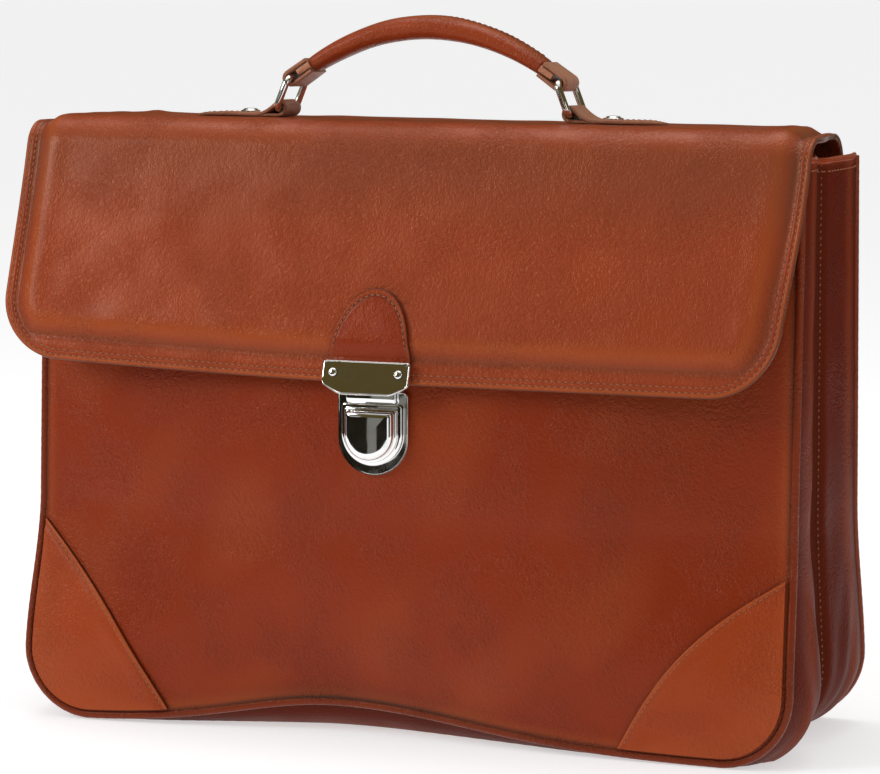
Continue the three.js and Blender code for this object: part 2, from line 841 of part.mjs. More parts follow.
// The strap that is riveted to the flap and holds a ring, with a pointed outer end
function chapeGeometry() {
  const end = lowBar.x + chapeLength;
  const outline = [
    new THREE.Vector2(end, pieceGap),
    ...arcPoints(lowBar, -Math.PI / 2, -1.5 * Math.PI, 10),
    new THREE.Vector2(lowBar.x + 2.6 * rollRadius, pieceGap + chapeThickness),
    new THREE.Vector2(end, pieceGap + chapeThickness),
  ];
  const half = strapWidth / 2;
  const plan = new THREE.Shape([
    new THREE.Vector2(0, -half - 1),
    new THREE.Vector2(end - chapePoint, -half - 1),
    new THREE.Vector2(end - chapePoint, -half),
    new THREE.Vector2(end - chapePoint / 2, 0.8 - half),
    new THREE.Vector2(end - chapePoint / 5, 0.45 - half / 2),
    new THREE.Vector2(end - 0.01, 0),
    new THREE.Vector2(end - chapePoint / 5, half / 2 - 0.45),
    new THREE.Vector2(end - chapePoint / 2, half - 0.8),
    new THREE.Vector2(end - chapePoint, half),
    new THREE.Vector2(end - chapePoint, half + 1),
    new THREE.Vector2(0, half + 1),
  ]);
  const slab = new THREE.ExtrudeGeometry(plan, { depth: 4 * rollRadius, bevelEnabled: false });
  slab.translate(0, 0, -rollRadius);
  return fromManifold(toManifold(rolledStrap(outline, lowBar)).intersect(toManifold(slab)));
}

// A bent wire ring with a low and a high bar along Y
function ringGeometry() {
  const low = new THREE.Vector3(lowBar.x, 0, lowBar.z);
  const rise = new THREE.Vector3(highBar.x, 0, highBar.z).sub(low);
  const tall = rise.length();
  const up = rise.clone().normalize();
  const level = new THREE.Vector3(0, 1, 0);
  const wide = (ringInnerWidth + ringWire) / 2;
  const bend = ringWire;
  const centres = [[wide - bend, bend, -1], [wide - bend, tall - bend, 0], [bend - wide, tall - bend, 1],
    [bend - wide, bend, 2]];
  const bendSteps = 3;
  const rings = centres.flatMap(([a, b, quarter]) => Array.from({ length: bendSteps + 1 }, (_, k) => {
    const angle = (quarter + k / bendSteps) * (Math.PI / 2);
    const out = level.clone().multiplyScalar(Math.cos(angle)).addScaledVector(up, Math.sin(angle));
    const middle = low.clone().addScaledVector(level, a).addScaledVector(up, b).addScaledVector(out, bend);
    const aside = new THREE.Vector3().crossVectors(level, up);
    return Array.from({ length: 8 }, (_, side) => {
      const around = ((side + 0.5) / 8) * 2 * Math.PI;
      return middle.clone()
        .addScaledVector(out, (ringWire / 2) * Math.cos(around))
        .addScaledVector(aside, (ringWire / 2) * Math.sin(around));
    });
  }));
  return ringsGeometry(rings, true);
}

function studGeometry() {
  const profile = [
    new THREE.Vector2(0, 0),
    new THREE.Vector2(studRadius, 0),
    new THREE.Vector2(studRadius, studHeight * 0.35),
    new THREE.Vector2(studRadius * 0.6, studHeight * 0.9),
    new THREE.Vector2(0, studHeight),
  ];
  const geometry = new THREE.LatheGeometry(profile, 14);
  geometry.rotateX(Math.PI / 2);
  return geometry;
}

function mirrored(geometry) {
  const turned = geometry.clone();
  turned.rotateZ(Math.PI);
  return turned;
}

addLeather('flap', flapGeometry());
addLeather('corner_patch_left', patchGeometry(-1, leftPatchHeight, leftPatchWidth, leftPatchBow));
addLeather('corner_patch_right', patchGeometry(1, rightPatchHeight, rightPatchWidth, rightPatchBow));

addLeather('lock_tab', tabGeometry());
addChrome('lock_plate', plateGeometry(), plateGroup);
for (const [name, sideways] of [['lock_rivet_left', -1], ['lock_rivet_right', 1]]) {
  const rivet = addChrome(name, rivetGeometry(), plateGroup);
  rivet.position.set(
    sideways * (plateWidth / 2 - rivetInset),
    -plateThickness - pieceGap,
    (plateHeight + plateChamfer / 2) / 2 - plateDrop,
  );
}
addChrome('lock_base', extrudeForward(
  new THREE.Shape(roundFootOutline(lockBaseWidth, lockBaseHeight, 14)),
  lockBaseThickness,
  lockBaseThickness / 3,
), lockGroup);
const slide = addChrome('lock_slide', slideGeometry(), lockGroup);
slide.position.set(0, -lockBaseThickness - pieceGap, -slideBelowTop);
const tongue = addChrome('lock_tongue', new THREE.BoxGeometry(
  tongueWidth,
  tongueThickness,
  slideBelowTop - 2 * pieceGap,
), lockGroup);
tongue.position.set(0, -lockBaseThickness - pieceGap - tongueThickness / 2, -slideBelowTop / 2);

addLeather('handle_grip', gripGeometry(), leatherTan, handleGroup);
for (const [suffix, place] of [['_left', mirrored], ['_right', (geometry) => geometry]]) {
  addLeather(`handle_end${suffix}`, place(handleEndGeometry()), leatherDark, handleGroup);
  addLeather(`chape${suffix}`, place(chapeGeometry()), leatherTan, handleGroup);
  addChrome(`ring${suffix}`, place(ringGeometry()), handleGroup);
  const stud = studGeometry();
  stud.translate(lowBar.x + studPlace, 0, 2 * pieceGap + chapeThickness);
  addChrome(`stud${suffix}`, place(stud), handleGroup);
}

// The origin lies under the middle of the whole case, on the floor
const whole = new THREE.Box3().setFromObject(model, true);
const middle = whole.getCenter(new THREE.Vector3());
model.position.set(-middle.x, -middle.y, -whole.min.z);

export default model;
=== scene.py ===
"""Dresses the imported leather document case: leather, stitches, chrome and the studio round it."""

from __future__ import annotations

import logging
import math
from dataclasses import dataclass, field
from enum import Enum

import bpy
import numpy as np
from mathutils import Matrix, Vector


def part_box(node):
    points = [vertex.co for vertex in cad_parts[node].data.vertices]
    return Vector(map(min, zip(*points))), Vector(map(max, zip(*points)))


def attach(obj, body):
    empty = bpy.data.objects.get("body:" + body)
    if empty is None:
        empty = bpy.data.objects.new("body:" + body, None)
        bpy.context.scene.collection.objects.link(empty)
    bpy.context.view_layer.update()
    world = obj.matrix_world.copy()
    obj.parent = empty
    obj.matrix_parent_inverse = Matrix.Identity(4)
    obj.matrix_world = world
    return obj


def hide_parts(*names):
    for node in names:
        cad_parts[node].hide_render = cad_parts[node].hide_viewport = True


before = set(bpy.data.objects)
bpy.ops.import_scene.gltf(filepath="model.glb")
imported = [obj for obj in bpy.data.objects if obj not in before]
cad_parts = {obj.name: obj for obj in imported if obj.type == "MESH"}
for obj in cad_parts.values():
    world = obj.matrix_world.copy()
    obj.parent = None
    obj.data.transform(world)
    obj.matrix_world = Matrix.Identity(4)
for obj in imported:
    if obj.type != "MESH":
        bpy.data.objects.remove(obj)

LOG = logging.getLogger("document_case")
Array = np.ndarray
Socket = bpy.types.NodeSocket
Value = Socket | float
Colour = tuple[float, float, float]
GussetRows = dict[str, tuple[float, ...]]
CardEnds = tuple[tuple[float, float], tuple[float, float]]
MM = 0.001
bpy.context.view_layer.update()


class Slot(Enum):
    """Material slots of the record."""

    TAN = "tan_leather"
    DARK = "dark_leather"
    CHROME = "chrome"


class Body(Enum):
    """Bodies of the case that move against each other."""

    CASE = "case"
    CATCH = "catch"


def clamp01(value: Array | float) -> Array:
    """Limits values to the range 0 to 1."""
    return np.clip(value, 0.0, 1.0)


def ease(start: float, end: float, value: Array | float) -> Array:
    """Runs smoothly from 0 at start to 1 at end.

    Args:
        start: Where the step begins.
        end: Where the step is complete.
        value: Places to read it at.

    Returns:
        k squared times (3 - 2 k), with k the share of the way, limited to 0 to 1.
    """
    k = clamp01((np.asarray(value, dtype=float) - start) / (end - start))
    return k * k * (3 - 2 * k)


def bell(value: Array, centre: Array | float, width: Array | float) -> Array:
    """A bell curve: e to the minus square of the distance from its centre in widths."""
    return np.exp(-(((value - centre) / width) ** 2))


def circle_angles(count: int) -> Array:
    """Even angles round a whole circle, without the repeated last one."""
    return np.linspace(0, 2 * math.pi, count + 1)[:-1]


def squared_circle(angle: Array, power: float) -> tuple[Array, Array]:
    """Cosine and sine with their sizes raised to a power, which squares a circle below 1."""
    across, over = np.cos(angle), np.sin(angle)
    return np.sign(across) * np.abs(across) ** power, np.sign(over) * np.abs(over) ** power


def smooth_table(keys: tuple[float, ...], values: tuple[float, ...], at: Array | float) -> Array:
    """Reads a short table along a smooth curve through its rows.

    Args:
        keys: Rising keys of the rows.
        values: One value for each key.
        at: Keys to read.

    Returns:
        A cubic Hermite curve whose slope at each row is that of the chord between its neighbours.
    """
    x = np.asarray(keys, dtype=float)
    y = np.asarray(values, dtype=float)
    slope = np.gradient(y, x)
    spot = np.clip(np.asarray(at, dtype=float), x[0], x[-1])
    k = np.clip(np.searchsorted(x, spot, side="right") - 1, 0, len(x) - 2)
    width = x[k + 1] - x[k]
    t = (spot - x[k]) / width
    return (
        (2 * t**3 - 3 * t**2 + 1) * y[k]
        + (t**3 - 2 * t**2 + t) * width * slope[k]
        + (3 * t**2 - 2 * t**3) * y[k + 1]
        + (t**3 - t**2) * width * slope[k + 1]
    )


def ripple(x: Array, y: Array, length: float, seed: int) -> Array:
    """A soft random swell between about -1 and 1, as a sum of six sine waves.

    Args:
        x: First coordinate in millimetres.
        y: Second coordinate in millimetres.
        length: Mean wave length in millimetres.
        seed: Seed of the waves' directions and phases.

    Returns:
        The mean of the waves, scaled so that its peaks lie near 1.
    """
    rng = np.random.default_rng(seed)
    total = np.zeros(np.broadcast(x, y).shape)
    waves = 6
    for turn, phase, stretch in zip(
        rng.uniform(0, math.pi, waves), rng.uniform(0, 2 * math.pi, waves), rng.uniform(0.7, 1.5, waves)
    ):
        wave = 2 * math.pi / (length * stretch)
        total += np.sin(wave * (x * math.cos(turn) + y * math.sin(turn)) + phase)
    return total / (waves * 0.55)


def unit(vectors: Array) -> Array:
    """Vectors along the last axis, scaled to length 1."""
    return vectors / np.maximum(np.linalg.norm(vectors, axis=-1, keepdims=True), 1e-12)


# Meshes from grids


def grid_faces(rows: int, columns: int, wrap_rows: bool = False, wrap_columns: bool = False) -> Array:
    """Quads between the points of a grid that is stored row by row."""
    r = np.arange(rows if wrap_rows else rows - 1)
    c = np.arange(columns if wrap_columns else columns - 1)
    rr, cc = np.meshgrid(r, c, indexing="ij")
    r2 = (rr + 1) % rows
    c2 = (cc + 1) % columns
    quads = [rr * columns + cc, rr * columns + c2, r2 * columns + c2, r2 * columns + cc]
    return np.stack(quads, axis=-1).reshape(-1, 4)


def enclosed_volume(points: Array, faces: list[Array]) -> float:
    """Six times the volume inside a closed mesh, negative where its faces look inward."""
    total = 0.0
    for block in faces:
        for k in range(1, block.shape[1] - 1):
            a, b, c = points[block[:, 0]], points[block[:, k]], points[block[:, k + 1]]
            total += float(np.einsum("ij,ij->i", a, np.cross(b, c)).sum())
    return total


@dataclass
class Surface:
    """A mesh on its way: points in millimetres, faces as blocks of equal size, and masks per point."""

    points: Array
    faces: list[Array]
    masks: dict[str, Array] = field(default_factory=dict)

    def outward(self) -> Surface:
        """The same closed surface with its faces turned outward."""
        if enclosed_volume(self.points - self.points.mean(axis=0), self.faces) < 0:
            self.faces = [block[:, ::-1] for block in self.faces]
        return self


def join_surfaces(parts: list[Surface]) -> Surface:
    """Joins several surfaces into one, keeping each mask that all of them have."""
    offset = 0
    faces: list[Array] = []
    for part in parts:
        faces += [block + offset for block in part.faces]
        offset += len(part.points)
    names = set.intersection(*[set(part.masks) for part in parts])
    masks = {name: np.concatenate([part.masks[name] for part in parts]) for name in names}
    return Surface(np.concatenate([part.points for part in parts]), faces, masks)


def wall(outer: Array, inner: Array, masks: dict[str, Array] | None = None) -> Surface:
    """Joins two grids of points, one for each face of a leather sheet, into a closed wall.

    Args:
        outer: Grid of shape (rows, columns, 3).
        inner: Grid of the same shape for the other face.
        masks: Values on the outer grid, which the inner grid repeats.

    Returns:
        The two faces with a rim of quads between their four edges.
    """
    rows, columns, _ = outer.shape
    far = rows * columns
    top = np.arange(columns)
    side = np.arange(rows) * columns
    sheet = grid_faces(rows, columns)

    def band(line: Array) -> Array:
        """Quads between a line of the outer grid and the same line of the inner one."""
        return np.stack([line[:-1], line[:-1] + far, line[1:] + far, line[1:]], axis=-1)

    rims = [band(top), band(top + far - columns)[:, ::-1], band(side)[:, ::-1], band(side + columns - 1)]
    points = np.concatenate([outer.reshape(-1, 3), inner.reshape(-1, 3)])
    copied = {
        name: np.tile(np.asarray(value, dtype=float).reshape(-1), 2) for name, value in (masks or {}).items()
    }
    return Surface(points, [sheet, sheet[:, ::-1] + far, *rims], copied).outward()


def tube(rings: Array, closed: bool = False, masks: dict[str, Array] | None = None) -> Surface:
    """Carries rings of points along a path, with a fan over each open end.

    Args:
        rings: Points of shape (rings, sides, 3).
        closed: Whether the last ring joins the first.
        masks: Values of shape (rings, sides).

    Returns:
        The closed surface.
    """
    count, sides, _ = rings.shape
    faces = [grid_faces(count, sides, closed, True)]
    points = rings.reshape(-1, 3)
    values = {name: np.asarray(value, dtype=float).reshape(-1) for name, value in (masks or {}).items()}
    if not closed:
        ring = np.arange(sides)
        after = (ring + 1) % sides
        first = np.stack([after, ring, np.full(sides, count * sides)], axis=-1)
        base = (count - 1) * sides
        last = np.stack([ring + base, after + base, np.full(sides, count * sides + 1)], axis=-1)
        faces += [first, last]
        points = np.concatenate([points, rings[[0, -1]].mean(axis=1)])
        for name, value in values.items():
            values[name] = np.concatenate([value, [value[0], value[-1]]])
    return Surface(points, faces, values).outward()


def add_piece(
    name: str,
    surface: Surface,
    material: bpy.types.Material,
    body: Body = Body.CASE,
    stands_for: tuple[str, ...] = (),
    smooth: bool = True,
) -> bpy.types.Object:
    """Makes a mesh object at the origin, sets its material, hangs it on its body's empty and hides the CAD
    nodes that it stands for.

    Args:
        name: Name of the piece.
        surface: Its surface, in millimetres.
        material: The finish it wears.
        body: Body that it rides on.
        stands_for: CAD nodes that it replaces.
        smooth: Whether its faces are shaded smoothly.

    Returns:
        The new object.
    """
    surface.points[:, 2] = np.maximum(surface.points[:, 2], 0.0)
    mesh = bpy.data.meshes.new(name)
    loops = np.concatenate([block.reshape(-1) for block in surface.faces])
    sizes = np.concatenate([np.full(len(block), block.shape[1]) for block in surface.faces])
    starts = np.concatenate([[0], np.cumsum(sizes)[:-1]])
    mesh.vertices.add(len(surface.points))
    mesh.vertices.foreach_set("co", (surface.points * MM).astype(np.float32).ravel())
    mesh.loops.add(len(loops))
    mesh.loops.foreach_set("vertex_index", loops.astype(np.int32))
    mesh.polygons.add(len(sizes))
    mesh.polygons.foreach_set("loop_start", starts.astype(np.int32))
    mesh.polygons.foreach_set("use_smooth", np.full(len(sizes), smooth))
    mesh.update(calc_edges=True)
    for mask, value in surface.masks.items():
        layer = mesh.attributes.new(mask, "FLOAT", "POINT")
        layer.data.foreach_set("value", value.astype(np.float32))
    mesh.materials.append(material)
    piece = bpy.data.objects.new(name, mesh)
    bpy.context.scene.collection.objects.link(piece)
    if smooth:
        with bpy.context.temp_override(object=piece, active_object=piece, selected_editable_objects=[piece]):
            bpy.ops.object.shade_smooth_by_angle(angle=math.radians(50))
    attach(piece, body.value)
    if stands_for:
        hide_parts(*stands_for)
    LOG.info("%s: %d faces", name, len(sizes))
    return piece


# Finishes


def new_group(name: str, inputs: dict[str, float | tuple], outputs: dict[str, str]) -> bpy.types.NodeTree:
    """Starts a shader node group.

    Args:
        name: Name of the group.
        inputs: Default value of each input; three numbers make a colour or vector input.
        outputs: Socket type of each output.

    Returns:
        The group, with its input and output nodes named In and Out.
    """
    group = bpy.data.node_groups.new(name, "ShaderNodeTree")
    for key, value in inputs.items():
        kind = "NodeSocketFloat" if isinstance(value, (int, float)) else "NodeSocketColor"
        socket = group.interface.new_socket(name=key, in_out="INPUT", socket_type=kind)
        socket.default_value = value if kind == "NodeSocketFloat" else (*value, 1.0)
    for key, kind in outputs.items():
        group.interface.new_socket(name=key, in_out="OUTPUT", socket_type=kind)
    group.nodes.new("NodeGroupInput").name = "In"
    group.nodes.new("NodeGroupOutput").name = "Out"
    return group


class Wiring:
    """Short calls for building a node tree."""

    def __init__(self, tree: bpy.types.NodeTree) -> None:
        """Keeps the tree that nodes go into."""
        self.tree = tree

    def node(
        self, kind: str, links: dict[str | int, object] | None = None, **settings: object
    ) -> bpy.types.Node:
        """Adds a node.

        Args:
            kind: Node type without its ShaderNode prefix.
            links: Input names or numbers, each with a socket to link or a value to set.
            **settings: Properties of the node.

        Returns:
            The node.
        """
        node = self.tree.nodes.new("ShaderNode" + kind)
        for key, value in settings.items():
            setattr(node, key, value)
        for key, value in (links or {}).items():
            if isinstance(value, bpy.types.NodeSocket):
                self.tree.links.new(value, node.inputs[key])
            else:
                node.inputs[key].default_value = value
        return node

    def math(self, operation: str, first: Value, second: Value = 0.0, third: Value = 0.0) -> Socket:
        """The result of a Math node of up to three inputs."""
        return self.node("Math", {0: first, 1: second, 2: third}, operation=operation).outputs[0]

    def clamp(self, value: Socket) -> Socket:
        """A value limited to 0 to 1."""
        return self.node("Clamp", {"Value": value}).outputs[0]

    def ramp(
        self, value: Socket, low: float, high: float, to_low: float = 0.0, to_high: float = 1.0
    ) -> Socket:
        """Maps a value smoothly from low..high to to_low..to_high."""
        node = self.node(
            "MapRange",
            {"Value": value, "From Min": low, "From Max": high, "To Min": to_low, "To Max": to_high},
            interpolation_type="SMOOTHSTEP",
        )
        return node.outputs["Result"]

    def mix(self, share: Value, first: Socket | Colour, second: Socket | Colour) -> Socket:
        """Mixes two colours by a share."""
        node = self.node("Mix", data_type="RGBA")
        for index, value in ((0, share), (6, first), (7, second)):
            if isinstance(value, bpy.types.NodeSocket):
                self.tree.links.new(value, node.inputs[index])
            else:
                node.inputs[index].default_value = (*value, 1.0) if isinstance(value, tuple) else value
        return node.outputs[2]


def new_material(name: str) -> tuple[bpy.types.Material, Wiring, bpy.types.Node]:
    """A material with nodes, the wiring of its tree and its main shader."""
    material = bpy.data.materials.new(name)
    material.use_nodes = True
    tree = material.node_tree
    return material, Wiring(tree), tree.nodes["Principled BSDF"]


def grain_group() -> bpy.types.NodeTree:
    """Leather grain: pebbles with fine creases between them.

    The coordinates are bent by a soft noise and divided by the pebble size. Height is a rounded
    noise plus the distance to the nearest pebble's edge, stronger in some patches than in others,
    plus fine noise. Creases is 1 in the deepest folds.
    """
    group = new_group(
        "leather_grain",
        {"Pebble": 0.0011, "Fine": 0.12},
        {"Height": "NodeSocketFloat", "Creases": "NodeSocketFloat", "Clouds": "NodeSocketFloat"},
    )
    wire = Wiring(group)
    source, target = group.nodes["In"], group.nodes["Out"]
    place = wire.node("TexCoord").outputs["Object"]
    rate = wire.math("DIVIDE", 1.0, source.outputs["Pebble"])
    bend = wire.node("TexNoise", {"Vector": place, "Scale": 210.0, "Detail": 2.0})
    shift = wire.node("VectorMath", {0: bend.outputs["Color"], 1: (0.5, 0.5, 0.5)}, operation="SUBTRACT")
    pulled = wire.node("VectorMath", {0: shift.outputs[0], "Scale": 0.0014}, operation="SCALE")
    bent = wire.node("VectorMath", {0: place, 1: pulled.outputs[0]}, operation="ADD")
    turned = wire.node(
        "Mapping", {"Vector": bent.outputs[0], "Rotation": (0.0, 0.6, 0.0), "Scale": (1.0, 1.0, 0.88)}
    )
    cells = wire.node("TexVoronoi", {"Vector": turned.outputs[0], "Scale": rate}, feature="DISTANCE_TO_EDGE")
    pebbles = wire.ramp(cells.outputs["Distance"], 0.0, 0.28)
    fine = wire.node("TexNoise", {"Vector": bent.outputs[0], "Scale": 1900.0, "Detail": 2.0})
    swells = wire.node("TexNoise", {"Vector": turned.outputs[0], "Scale": 560.0, "Detail": 1.0})
    patchy = wire.node("TexNoise", {"Vector": place, "Scale": 34.0, "Detail": 2.0})
    strong = wire.ramp(patchy.outputs["Fac"], 0.38, 0.66, 0.3, 1.0)
    rough = wire.math("MULTIPLY", fine.outputs["Fac"], source.outputs["Fine"])
    swollen = wire.ramp(swells.outputs["Fac"], 0.3, 0.66)
    folds = wire.math("ADD", swollen, wire.math("MULTIPLY", pebbles, 0.7))
    height = wire.math("MULTIPLY_ADD", folds, strong, rough)
    clouds = wire.node("TexNoise", {"Vector": place, "Scale": 16.0, "Detail": 4.0, "Roughness": 0.62})
    deep = wire.math("MULTIPLY", wire.ramp(swells.outputs["Fac"], 0.44, 0.3), strong)
    wire.tree.links.new(height, target.inputs["Height"])
    wire.tree.links.new(deep, target.inputs["Creases"])
    wire.tree.links.new(clouds.outputs["Fac"], target.inputs["Clouds"])
    return group


def wear_and_painted_light_group() -> bpy.types.NodeTree:
    """Colour of leather with wear, painted highlight and painted shade, from a base colour and three masks.

    Clouds and creases darken the base, the mask for wear and painted highlight lifts it towards a paler
    tone, the shade mask paints shade by darkening it towards the dark edge paint, and the paint mask covers
    it with the dark paint of cut edges.
    """
    group = new_group(
        "leather_wear_and_painted_light",
        {
            "Base": (0.3, 0.07, 0.03),
            "Deep": (0.15, 0.03, 0.01),
            "Pale": (0.5, 0.2, 0.1),
            "Paint": (0.03, 0.01, 0.006),
            "Clouds": 0.5,
            "Creases": 0.0,
            "WearAndHighlight": 0.0,
            "Shade": 0.0,
            "Painted": 0.0,
        },
        {"Color": "NodeSocketColor"},
    )
    wire = Wiring(group)
    source, target = group.nodes["In"].outputs, group.nodes["Out"]
    cloudy = wire.mix(wire.ramp(source["Clouds"], 0.34, 0.7), source["Base"], source["Deep"])
    soft = wire.mix(0.32, source["Base"], cloudy)
    creased = wire.mix(wire.math("MULTIPLY", source["Creases"], 0.35), soft, source["Deep"])
    worn = wire.mix(wire.math("MULTIPLY", source["WearAndHighlight"], 0.7), creased, source["Pale"])
    # Painted shade: the shade mask darkens the colour towards the dark edge paint where shade falls.
    shaded = wire.mix(wire.clamp(source["Shade"]), worn, source["Paint"])
    painted = wire.mix(wire.clamp(source["Painted"]), shaded, source["Paint"])
    wire.tree.links.new(painted, target.inputs["Color"])
    return group


@dataclass(frozen=True)
class Leather:
    """A leather finish: linear colours, grain and gloss."""

    name: str
    base: Colour
    deep: Colour
    pale: Colour
    paint: Colour = (0.05, 0.016, 0.009)
    pebble: float = 0.0013
    bump: float = 0.00027
    roughness: float = 0.34
    gloss: float = 0.32
    coat: float = 0.1
    gloss_tint: Colour = (1.0, 0.5, 0.3)

    def build(self, grain: bpy.types.NodeTree, wear: bpy.types.NodeTree) -> bpy.types.Material:
        """Makes the material.

        Args:
            grain: The leather grain group.
            wear: The leather colour group, with wear, painted highlight and painted shade.

        Returns:
            A Principled material whose point masks for wear with painted highlight, for painted shade and
            for edge paint change its colour.
        """
        material, wire, shader = new_material(self.name)
        tree = wire.tree
        skin = wire.node("Group", node_tree=grain)
        skin.inputs["Pebble"].default_value = self.pebble
        colour = wire.node("Group", node_tree=wear)
        tones = (("Base", self.base), ("Deep", self.deep), ("Pale", self.pale), ("Paint", self.paint))
        for key, value in tones:
            colour.inputs[key].default_value = (*value, 1.0)
        tree.links.new(skin.outputs["Clouds"], colour.inputs["Clouds"])
        tree.links.new(skin.outputs["Creases"], colour.inputs["Creases"])
        # The wear mask carries both real wear and painted highlight; the shade mask is painted shade.
        for mask, key in (("worn", "WearAndHighlight"), ("shade", "Shade"), ("painted", "Painted")):
            read = wire.node("Attribute", attribute_name=mask)
            tree.links.new(read.outputs["Fac"], colour.inputs[key])
        bump = wire.node("Bump", {"Height": skin.outputs["Height"], "Strength": 1.0, "Distance": self.bump})
        rough = wire.ramp(skin.outputs["Clouds"], 0.3, 0.7, self.roughness - 0.06, self.roughness + 0.08)
        tree.links.new(colour.outputs["Color"], shader.inputs["Base Color"])
        tree.links.new(rough, shader.inputs["Roughness"])
        tree.links.new(bump.outputs["Normal"], shader.inputs["Normal"])
        shader.inputs["Specular IOR Level"].default_value = self.gloss
        shader.inputs["Specular Tint"].default_value = (*self.gloss_tint, 1.0)
        shader.inputs["Coat Weight"].default_value = self.coat
        shader.inputs["Coat Roughness"].default_value = 0.22
        return material


@dataclass(frozen=True)
class Thread:
    """Waxed thread, with painted shade for the needle holes beside it, laid on through a mask."""

    name: str
    colour: Colour
    hole: Colour = (0.03, 0.01, 0.006)

    def build(self) -> bpy.types.Material:
        """A Principled material with the twist of the thread as a fine bump."""
        material, wire, shader = new_material(self.name)
        tree = wire.tree
        place = wire.node("TexCoord").outputs["Object"]
        twist = wire.node(
            "TexWave", {"Vector": place, "Scale": 900.0, "Distortion": 2.0}, bands_direction="DIAGONAL"
        )
        tone = wire.node("TexNoise", {"Vector": place, "Scale": 60.0})
        hole = wire.node("Attribute", attribute_name="hole").outputs["Fac"]
        light = tuple(0.75 * c for c in self.colour)
        thread = wire.mix(tone.outputs["Fac"], light, self.colour)
        # Needle holes: painted shade, the thread colour darkened to the hole tone on the dark cones.
        tree.links.new(wire.mix(hole, thread, self.hole), shader.inputs["Base Color"])
        bump = wire.node("Bump", {"Height": twist.outputs["Fac"], "Distance": 0.0001})
        tree.links.new(bump.outputs["Normal"], shader.inputs["Normal"])
        shader.inputs["Roughness"].default_value = 0.62
        return material


@dataclass(frozen=True)
class Chrome:
    """Polished chrome plate with faint smears."""

    name: str
    tint: Colour = (0.86, 0.86, 0.85)
    roughness: float = 0.035

    def build(self) -> bpy.types.Material:
        """A Principled metal whose roughness and normal change a little over the surface."""
        material, wire, shader = new_material(self.name)
        tree = wire.tree
        place = wire.node("TexCoord").outputs["Object"]
        smear = wire.node("TexNoise", {"Vector": place, "Scale": 130.0, "Detail": 4.0})
        rough = wire.ramp(smear.outputs["Fac"], 0.35, 0.75, self.roughness, self.roughness + 0.05)
        wave = wire.node("TexNoise", {"Vector": place, "Scale": 90.0, "Detail": 1.0})
        bump = wire.node("Bump", {"Height": wave.outputs["Fac"], "Distance": 0.00012})
        smeared = wire.ramp(smear.outputs["Fac"], 0.55, 0.8)
        dull = wire.mix(smeared, self.tint, tuple(0.8 * c for c in self.tint))
        tree.links.new(dull, shader.inputs["Base Color"])
        tree.links.new(rough, shader.inputs["Roughness"])
        tree.links.new(bump.outputs["Normal"], shader.inputs["Normal"])
        shader.inputs["Metallic"].default_value = 1.0
        return material


class Finishes:
    """All materials of the case."""

    def __init__(self) -> None:
        """Builds the shared groups and then each finish."""
        grain = grain_group()
        wear = wear_and_painted_light_group()
        tan = Leather(
            "tan_leather", (0.25, 0.037, 0.009), (0.19, 0.024, 0.006), (0.46, 0.115, 0.022),
            paint=(0.13, 0.04, 0.02),
        )
        panel = Leather("panel_leather", (0.205, 0.020, 0.003), (0.15, 0.012, 0.002), (0.38, 0.075, 0.016))
        patch = Leather("patch_leather", (0.285, 0.038, 0.007), (0.21, 0.024, 0.004), (0.45, 0.11, 0.03))
        dark = Leather(
            "gusset_leather", (0.105, 0.010, 0.002), (0.065, 0.006, 0.002), (0.26, 0.045, 0.012),
            gloss=0.07, bump=0.00014, roughness=0.42, coat=0.0,
        )
        # Painted sheen: the strap leather's pale, greyish base stands in for the top light and the sky's
        # reflection on the chapes and rolled ends.
        strap = Leather(
            "strap_leather_painted_sheen", (0.40, 0.165, 0.092), (0.27, 0.1, 0.055), (0.58, 0.30, 0.19), pebble=0.0008
        )
        piping = Leather("piping_leather", (0.16, 0.019, 0.004), (0.11, 0.012, 0.003), (0.36, 0.075, 0.02))
        self.piping = piping.build(grain, wear)
        self.tan = tan.build(grain, wear)
        self.panel = panel.build(grain, wear)
        self.patch = patch.build(grain, wear)
        self.dark = dark.build(grain, wear)
        self.strap = strap.build(grain, wear)
        self.thread = Thread("tan_thread", (0.36, 0.098, 0.032)).build()
        self.chrome = Chrome("chrome").build()


# Stitches


